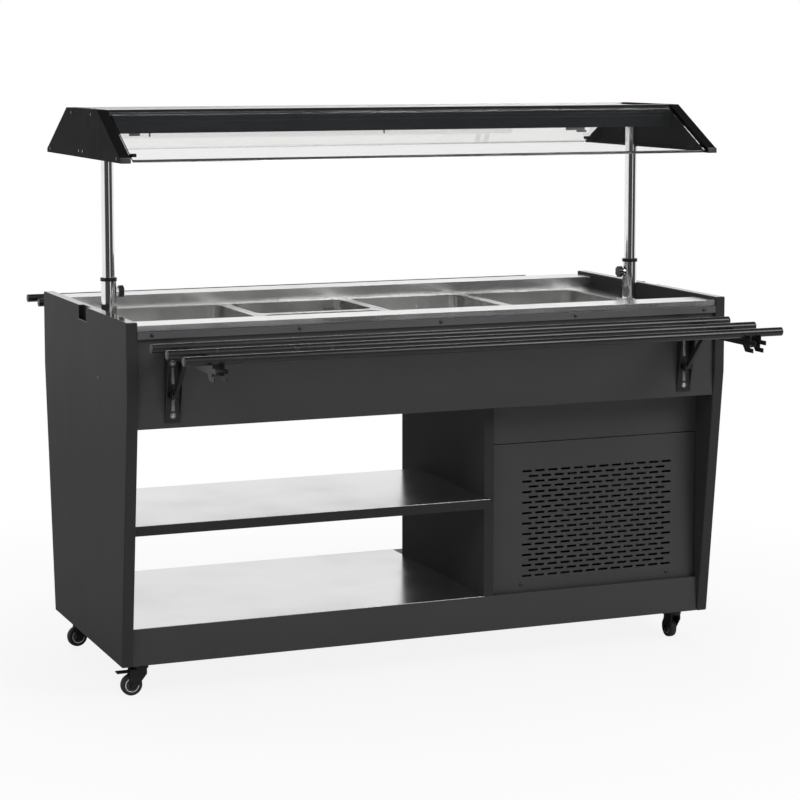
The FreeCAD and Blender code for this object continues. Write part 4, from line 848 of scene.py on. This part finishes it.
def screw_head(radius, height):
    """A domed head with a cross recess, looking along +Z from z = 0."""
    head = turned("head", [(radius * across, height * up) for across, up in SCREW_DOME], sides=28)
    arm, slot = radius * RECESS_ARM, radius * RECESS_WIDTH
    floor, above = height * RECESS_FLOOR, height * RECESS_CLEAR
    for half_x, half_y in ((arm, slot), (slot, arm)):
        head = carve(head, bar("slot", (-half_x, -half_y, floor), (half_x, half_y, above), slot / 4))
    return head


def place_heads(name, height, front, rear, material, *replaced):
    """Screw heads at places on the front, and on the rear at the mirror image of other places."""
    heads = []
    for axis, places in (("-Y", front), ("Y", [(x, -y, z) for x, y, z in rear])):
        head = screw_head(SCREW_RADIUS, height)
        head.rotation_euler = AXES[axis]
        heads.append(repeat(settle(head, "head"), "heads", places))
    dress(smooth(join(name, *heads), degrees=30), "cabinet", "screw_steel", material, *replaced)


def make_screw_heads():
    """Cross-headed screws on the bumpers, the wall plates and the door. Gives the wall plates' places."""
    bars_low, bars_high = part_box("bumper_bars")
    door_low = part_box("louvre_door")[0]
    screws_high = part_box("cabinet_screws")[1]
    height = screws_high.y - bars_high.y
    pitch = (screws_high.x - PLAIN_HEAD_RADIUS) / 2
    bumper = [(k * pitch, bars_low.y, (bars_low.z + bars_high.z) / 2) for k in range(-2, 3)]
    door = [(x, door_low.y, door_low.z + DOOR_SCREW_RISE) for x in DOOR_SCREW_PLACES]
    plate_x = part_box("slide_wall_plates")[1].x - PLATE_SCREW_INSET
    plate_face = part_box("aprons")[0].y - PLATE_THICK
    plate = [(side * plate_x, plate_face, level) for side in (-1, 1) for level in PLATE_SCREW_LEVELS]
    place_heads("bumper_screw_heads", height, bumper + door, bumper, dark_steel, "cabinet_screws")
    place_heads("plate_screw_heads", height, plate, plate, screw_steel)
    return plate


def make_bracket_trim(places):
    """Zinc washers under the wall plates' screws, and the bright pressed track between them."""
    edge, thick = WASHER_RADIUS, WASHER_THICK
    steps = [(WASHER_BORE, 0), (edge, 0), (edge, thick - WASHER_BEVEL), (edge - WASHER_BEVEL, thick),
             (WASHER_BORE, thick)]
    washer = turned("washer", steps, axis="-Y", sides=32, hollow=True)
    trim = [repeat(washer, "washers", places + [(x, -y - thick, z) for x, y, z in places])]
    plate_x, face, _ = places[-1]
    for low, high in TRACK_LEVELS:
        strip = bar("strip", (-TRACK_HALF_WIDTH, -TRACK_RISE, low), (TRACK_HALF_WIDTH, TRACK_SUNK, high))
        spots = [(side * plate_x, sign * face, 0) for sign in (1, -1) for side in (-1, 1)]
        trim.append(repeat(strip, "track", spots))
    dress(join("bracket_trim", *trim), "cabinet", "screw_steel", track_steel)


def make_rail_plugs():
    """Domed plugs in the ends of the tray rails."""
    for side, sign in (("front", -1), ("rear", 1)):
        low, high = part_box(f"tray_rails_{side}")
        radius = (high.z - low.z) / 2
        first = min(abs(low.y), abs(high.y)) + radius
        pitch = (high.y - low.y - 2 * radius) / (RAILS_PER_SIDE - 1)
        steps = [(radius * 0.8, -PLUG_SHANK), (radius * 0.8, 0), (radius, 0), (radius, PLUG_RIM),
                 (radius * 0.9, PLUG_DEPTH), (radius * 0.45, PLUG_DEPTH + PLUG_CROWN)]
        plugs = []
        for axis, end in (("X", high.x), ("-X", low.x)):
            places = [(end, sign * (first + k * pitch), low.z + radius) for k in range(RAILS_PER_SIDE)]
            plugs.append(repeat(turned("plug", steps, axis=axis), "plugs", places))
        dress(join(f"rail_plugs_{side}", *plugs), f"tray_slide_{side}", "knob_black", rail_plug_grey)


def make_canopy_fittings():
    """Rivets, grey corner blocks that paint a highlight on the caps' lit front lips, and clips on the end
    caps.
    """
    low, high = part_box("canopy_end_caps")
    rivets = []
    for axis, face in (("X", high.x), ("-X", low.x)):
        rivet = turned("rivet", [(RIVET_RADIUS * share, height) for share, height in RIVET_DOME], axis=axis,
                       sides=28)
        rivets.append(repeat(rivet, "rivets", [(face, y, z) for y, z in RIVET_PLACES]))
    dress(join("cap_rivets", *rivets), "canopy", "screw_steel", dark_steel)

    # Painted highlight: grey blocks stand for the caps' lit front lips.
    blocks = []
    for side in (-1, 1):
        for end in (-1, 1):
            x0, x1 = sorted((side * (high.x - BLOCK_REACH), side * (high.x - BLOCK_SETBACK)))
            y0, y1 = sorted((end * (high.y - BLOCK_LAP), end * (high.y + BLOCK_PROUD)))
            blocks.append(bar("block", (x0, y0, low.z - BLOCK_DROP), (x1, y1, low.z + BLOCK_HEIGHT),
                              BLOCK_ROUNDING))
    dress(join("cap_corner_blocks", *blocks), "canopy", "bumper_grey", block_grey)

    clips = []
    for side in (-1, 1):
        x0, x1 = sorted((side * high.x - side * CLIP_SUNK, side * high.x + side * CLIP_PROUD))
        for y in CLIP_PLACES:
            clips.append(bar("clip", (x0, y - CLIP_HALF_WIDTH, CLIP_LEVELS[0]),
                             (x1, y + CLIP_HALF_WIDTH, CLIP_LEVELS[1]), CLIP_ROUNDING))
    dress(join("cap_clips", *clips), "canopy", "knob_black", switch_black)


def make_fascia_tabs():
    """The small tabs, and the boot of the lamp's lead, that show under the front fascia."""
    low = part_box("roof_frame")[0]
    tabs = [bar("tab", (x0, low.y + TAB_FRONT, low.z - drop), (x1, low.y + TAB_BACK, low.z + TAB_LAP),
                TAB_ROUNDING) for x0, x1, drop in (HOLDER_TAB, LEFT_PIN, MIDDLE_PIN, DRIVER_TAB)]
    x0, x1, drop = LEAD_BOOT
    tabs.append(bar("boot", (x0, low.y + BOOT_FRONT, low.z - drop),
                    (x1, low.y + BOOT_BACK, low.z - BOOT_TOP), TAB_ROUNDING))
    dress(join("fascia_tabs", *tabs), "canopy", "batten_white", tab_grey)


def make_glass_edges():
    """The polished bead along the low edge of each glass."""
    for side, sign in (("front", -1), ("rear", 1)):
        hinge = Vector(joints[f"glass_{side}_tilt"]["pos_m"])
        low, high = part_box(f"glass_{side}")
        outer = low.y if sign < 0 else high.y
        fall = hinge.z - low.z
        run = abs(outer - hinge.y)
        slope = math.atan2(fall, run)
        reach = math.hypot(run, fall) - BEAD_SETBACK
        bead = bar("bead", (-BEAD_HALF_LENGTH, -BEAD_HALF_THICK, -BEAD_HALF_WIDTH),
                   (BEAD_HALF_LENGTH, BEAD_HALF_THICK, BEAD_HALF_WIDTH), BEAD_ROUNDING)
        bead.rotation_euler = (-sign * slope, 0, 0)
        bead.location = (0, hinge.y + sign * math.cos(slope) * reach, hinge.z - math.sin(slope) * reach)
        bead = smooth(settle(bead, f"glass_edge_{side}"))
        dress(bead, f"glass_{side}", "clear_glass", edge_glass)


def make_lamp_fittings():
    """Metal ferrules on the lamp's ends, and the clips that hang from the batten."""
    low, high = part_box("lamp_tube")
    radius = (high.z - low.z) / 2
    middle = (low.z + high.z) / 2
    bore, wall = radius - FERRULE_WALL, radius + FERRULE_WALL
    steps = [(bore, 0), (wall, 0), (radius + FERRULE_BULGE, FERRULE_LENGTH / 2), (wall, FERRULE_LENGTH),
             (bore, FERRULE_LENGTH)]
    ferrules = [turned("ferrule", steps, at=(end, 0, middle), axis=axis, hollow=True)
                for end, axis in ((low.x, "X"), (high.x, "-X"))]
    dress(join("lamp_ferrules", *ferrules), "canopy", "screw_steel", screw_steel)

    batten_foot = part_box("roof_sheet")[0].z - BATTEN_HEIGHT
    half = [(radius + gap, -LAMP_CLIP_HALF_LENGTH) for gap in (LAMP_CLIP_GAP, LAMP_CLIP_REACH)]
    clips = []
    for x in LAMP_CLIP_PLACES:
        clips.append(turned("clip", both_sides(half), at=(x, 0, middle), axis="X", hollow=True))
        clips.append(bar("stem", (x - STEM_HALF_LENGTH, -STEM_HALF_THICK, middle + radius + STEM_START),
                         (x + STEM_HALF_LENGTH, STEM_HALF_THICK, batten_foot)))
    dress(join("lamp_clips", *clips), "canopy", "batten_white", batten_white)


def turn_to(axis):
    """The turn that brings +Z to an axis."""
    return Vector((0, 0, 1)).rotation_difference(Vector(axis)).to_euler()


def make_castor(corner):
    """A tyre on a plastic centre with a bright ring, and the fork's axle nuts and dust cover."""
    roll = joints[f"castor_roll_{corner}"]
    at, axis = roll["pos_m"], turn_to(roll["axis"])
    rim = TYRE_RADIUS * RIM_SHARE
    body = f"castor_wheel_{corner}"
    tread = [(rim, -TREAD_EDGE)] + [(TYRE_RADIUS - depth, middle) for depth, middle in TREAD]
    band = turned(f"castor_tread_{corner}", both_sides(tread), at=at, axis=axis, sides=72, hollow=True)
    dress(band, body, "castor_tyre", tyre, body)

    hub = [(HUB_BORE, -HUB_HALF_WIDTH), (HUB_BOSS, -HUB_HALF_WIDTH), HUB_STEP, (rim * 0.8, -HUB_WEB),
           (rim * 0.9, -HUB_FLANGE), (rim + HUB_LAP, -HUB_FLANGE)]
    centre = turned(f"castor_hub_{corner}", both_sides(hub), at=at, axis=axis, sides=56, hollow=True)
    dress(centre, body, "knob_black", hub_grey)

    rings = []
    for face in (-RING_FACE, RING_FACE):
        inner, outer, crown = rim * RING_INNER, rim + RING_LAP, rim - RING_SHOULDER
        low, high, shoulder = face - RING_HALF_THICK, face + RING_HALF_THICK, face + RING_SHOULDER
        steps = [(inner, low), (outer, low), (outer, shoulder), (crown, high), (inner, shoulder)]
        rings.append(turned("ring", steps, at=at, axis=axis, sides=56, hollow=True))
    dress(join(f"castor_ring_{corner}", *rings), body, "screw_steel", chrome)

    fittings = []
    for side in (-1, 1):
        base, rise = side * NUT_BASE, side * NUT_HEIGHT
        steps = [(NUT_RADIUS, base), (NUT_RADIUS, base + rise), (NUT_RADIUS * 0.84, base + rise * NUT_CROWN),
                 (NUT_RADIUS * 0.4, base + rise * NUT_CROWN)]
        fittings.append(turned("nut", steps, at=at, axis=axis, sides=6))
    swivel = joints[f"castor_swivel_{corner}"]["pos_m"]
    fittings.append(turned("cover", DUST_COVER, at=swivel, sides=56, hollow=True))
    dress(join(f"castor_fittings_{corner}", *fittings), f"castor_fork_{corner}", "castor_black", castor_black)


def make_controls():
    """The dial's tick marks and the rocker's bezel."""
    dial = Vector(joints["thermostat_turn"]["pos_m"])
    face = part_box("control_plate")[1].y
    marks = []
    for k in range(TICKS):
        angle = math.radians(DIAL_START - k * DIAL_SWEEP / (TICKS - 1))
        length = END_TICK_LENGTH if k in (0, TICKS - 1) else TICK_LENGTH
        tick = bar("tick", (0, -TICK_SUNK, -TICK_HALF_WIDTH), (length, TICK_PROUD, TICK_HALF_WIDTH),
                   TICK_ROUNDING)
        tick.rotation_euler = (0, math.pi + angle, 0)
        tick.location = (dial.x - TICK_RING * math.cos(angle), face, dial.z + TICK_RING * math.sin(angle))
        marks.append(settle(tick, "tick"))
    dress(join("dial_marks", *marks), "cabinet", "batten_white", mark_white)

    rocker_x = joints["power_switch_rock"]["pos_m"][0]
    half_x, half_z = BEZEL_HALF_WIDTH, BEZEL_HALF_HEIGHT
    bezel = bar("bezel", (rocker_x - half_x, face - BEZEL_SUNK, dial.z - half_z),
                (rocker_x + half_x, face + BEZEL_PROUD, dial.z + half_z), BEZEL_ROUNDING)
    half_x, half_z = half_x - BEZEL_WALL, half_z - BEZEL_WALL
    hole = bar("hole", (rocker_x - half_x, face - HOLE_REACH, dial.z - half_z),
               (rocker_x + half_x, face + HOLE_REACH, dial.z + half_z), HOLE_ROUNDING)
    dress(smooth(settle(carve(bezel, hole), "switch_bezel")), "cabinet", "knob_black", knob_black)


def make_compressor_fittings():
    """The weld flange round the compressor, and rubber grommets on its feet."""
    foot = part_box("compressor")[0].z
    x, y = POT_PLACE
    half = [(POT_RADIUS - FLANGE_LAP, -FLANGE_HALF_THICK), (POT_RADIUS + FLANGE_LAP, -FLANGE_HALF_THICK),
            (POT_RADIUS + FLANGE_WIDTH, -FLANGE_HALF_THICK / 2)]
    flange = turned("compressor_flange", both_sides(half), at=(x, y, foot + FLANGE_RISE), sides=80,
                    hollow=True)
    dress(flange, "cabinet", "compressor_black", compressor_black)

    bore, edge, height = GROMMET_BORE, GROMMET_RADIUS, GROMMET_HEIGHT
    below, waist, above = GROMMET_GROOVE
    steps = [(bore, 0), (edge, 0), (edge, below), (GROMMET_WAIST, waist), (edge, above), (edge, height),
             (bore, height)]
    spots = [(x + a * FOOT_OFFSETS[0], y + b * FOOT_OFFSETS[1], foot + GROMMET_LIFT)
             for a in (-1, 1) for b in (-1, 1)]
    grommets = repeat(turned("grommet", steps, hollow=True), "compressor_grommets", spots)
    dress(grommets, "cabinet", "castor_tyre", tyre)


def make_panel_plug():
    """The small cover over a fixing in the left panel's face."""
    place = (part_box("end_panel_left")[0].x, *COVER_PLACE)
    plug = turned("panel_plug", COVER_STEPS, at=place, axis="-X", sides=28)
    dress(plug, "cabinet", "knob_black", knob_black)


# ---------------------------------------------------------------- studio

def make_floor():
    """A pale floor that reads as white to the camera and keeps the shadow near the object."""
    clear()
    bpy.ops.mesh.primitive_circle_add(vertices=96, radius=FLOOR_RADIUS, fill_type="NGON")
    floor = bpy.context.object
    floor.name = "floor"
    material, tree, shader = start_material("floor_white", Base_Color=(*FLOOR_TONE, 1), Roughness=0.9,
                                            Specular_IOR_Level=0.1)
    path = add(tree, "ShaderNodeLightPath")
    glow = add(tree, "ShaderNodeEmission", Strength=1.0)
    place = add(tree, "ShaderNodeTexCoord")
    distance = add(tree, "ShaderNodeVectorMath", {"operation": "LENGTH"})
    wire(tree, place, "Object", distance, 0)
    far = ramp(tree, distance, "Value", GLOW_FROM, GLOW_FULL, FLOOR_NEAR_GLOW, 1.0)
    seen = combine(tree, "MAXIMUM", path, "Is Camera Ray", path, "Is Transmission Ray")
    share = combine(tree, "MULTIPLY", far, "Result", seen, "Value")
    mixer = add(tree, "ShaderNodeMixShader")
    wire(tree, share, "Value", mixer, "Fac")
    wire(tree, shader, "BSDF", mixer, 1)
    wire(tree, glow, "Emission", mixer, 2)
    wire(tree, mixer, "Shader", tree.nodes["Material Output"], "Surface")
    floor.data.materials.append(material)


def along(tree, place, direction):
    """How far the view looks along a level direction."""
    item = add(tree, "ShaderNodeVectorMath", {"operation": "DOT_PRODUCT"})
    wire(tree, place, "Generated", item, 0)
    item.inputs[1].default_value = direction
    return item


def make_world():
    """Soft studio light: a white backdrop and left wall, with dark flags that shape the metal."""
    world = bpy.data.worlds.new("studio")
    bpy.context.scene.world = world
    world.use_nodes = True
    tree = world.node_tree
    backdrop = tree.nodes["Background"]
    backdrop.inputs["Color"].default_value = (1, 1, 1, 1)
    path = add(tree, "ShaderNodeLightPath")
    place = add(tree, "ShaderNodeTexCoord")
    parts = add(tree, "ShaderNodeSeparateXYZ")
    wire(tree, place, "Generated", parts, "Vector")
    turn = math.radians(CAMERA_TURN)
    behind = along(tree, place, (math.sin(turn), math.cos(turn), 0))
    right = along(tree, place, (math.cos(turn), -math.sin(turn), 0))

    # The walls: behind the object, on the left, and a narrow bright strip on the right, all below the ceiling
    rear_wall = ramp(tree, behind, "Value", 0.0, 0.3)
    left_near = ramp(tree, behind, "Value", -0.8, -0.6)
    left_side = ramp(tree, right, "Value", -0.5, -0.65)
    left_wall = combine(tree, "MULTIPLY", left_near, "Result", left_side, "Result")
    strip_offset = add(tree, "ShaderNodeMath", {"operation": "SUBTRACT"})
    wire(tree, right, "Value", strip_offset, 0)
    strip_offset.inputs[1].default_value = STRIP_PLACE
    strip_light = ramp(tree, size_of(tree, strip_offset, "Value"), "Value", 0.09, 0.05)
    walls = combine(tree, "MAXIMUM", rear_wall, "Result", left_wall, "Value")
    bright = combine(tree, "MAXIMUM", walls, "Value", strip_light, "Result")
    below_ceiling = ramp(tree, parts, "Z", 0.7, 0.45)
    lower = combine(tree, "MULTIPLY", bright, "Value", below_ceiling, "Result")

    # The ceiling: dark but for one band in front of the object
    band_start = ramp(tree, parts, "Z", 0.7, 0.76)
    band_end = ramp(tree, parts, "Z", 0.93, 0.88)
    band_side = ramp(tree, behind, "Value", 0.0, -0.15)
    band = combine(tree, "MULTIPLY", band_start, "Result", band_end, "Result")
    ceiling = combine(tree, "MULTIPLY", band, "Value", band_side, "Result")
    lit = combine(tree, "MAXIMUM", lower, "Value", ceiling, "Value")

    # Metal mirrors the walls, dull surfaces get an even room, and the camera sees white
    shown = ramp(tree, lit, "Value", 0.0, 1.0, DARK_FLAGS, 1.0)
    glossy = add(tree, "ShaderNodeMix", {"data_type": "FLOAT"}, A=ROOM_LIGHT)
    wire(tree, path, "Is Glossy Ray", glossy, "Factor")
    wire(tree, shown, "Result", glossy, "B")
    straight = combine(tree, "MAXIMUM", path, "Is Camera Ray", path, "Is Transmission Ray")
    bounces = combine(tree, "ADD", path, "Diffuse Depth", path, "Glossy Depth")
    direct = ramp(tree, bounces, "Value", 0.5, 0.4)
    clear_ray = combine(tree, "MULTIPLY", straight, "Value", direct, "Result")
    strength = add(tree, "ShaderNodeMix", {"data_type": "FLOAT"}, B=1.0)
    wire(tree, clear_ray, "Value", strength, "Factor")
    wire(tree, glossy, "Result", strength, "A")
    wire(tree, strength, "Result", backdrop, "Strength")


def make_light(name, place, target, power, width, height, mirrored=False):
    """A soft box that faces a point of the object. Metal shows it only where it is mirrored."""
    box_data = bpy.data.lights.new(name, "AREA")
    box_data.shape = "RECTANGLE"
    box_data.size = width
    box_data.size_y = height
    box_data.energy = power
    light = bpy.data.objects.new(name, box_data)
    bpy.context.scene.collection.objects.link(light)
    light.location = place
    light.visible_glossy = mirrored
    light.rotation_euler = (Vector(target) - Vector(place)).to_track_quat("-Z", "Y").to_euler()


def make_studio():
    """The floor, the world, the soft boxes and the photograph's camera."""
    make_floor()
    make_world()
    make_light("key_box", (2.6, -4.0, 3.4), (0.1, 0, 0.6), power=110, width=2.2, height=2.0, mirrored=True)
    make_light("fill_box", (-3.4, -2.2, 2.6), (-0.5, 0, 0.8), power=30, width=1.4, height=1.4)
    make_light("top_box", (0, 0.2, 4.2), (0, 0, 0.8), power=70, width=3.4, height=2.4)
    make_light("back_box", (0.8, 4.2, 2.6), (0, 0, 0.7), power=50, width=3.0, height=2.0)
    camera_data = bpy.data.cameras.new("photo_camera")
    camera_data.lens = CAMERA_LENS
    camera_data.shift_y = CAMERA_DROP
    camera = bpy.data.objects.new("photo_camera", camera_data)
    bpy.context.scene.collection.objects.link(camera)
    camera.location = CAMERA_PLACE
    camera.rotation_euler = (math.radians(90 - CAMERA_TILT), 0, math.radians(-CAMERA_TURN))
    bpy.context.scene.camera = camera
    bpy.context.scene.view_settings.view_transform = "Standard"


paint_nodes()
make_sleeve_collars()
make_bracket_trim(make_screw_heads())
make_rail_plugs()
make_canopy_fittings()
make_fascia_tabs()
make_glass_edges()
make_lamp_fittings()
for corner in CORNERS:
    make_castor(corner)
make_controls()
make_compressor_fittings()
make_panel_plug()
make_studio()
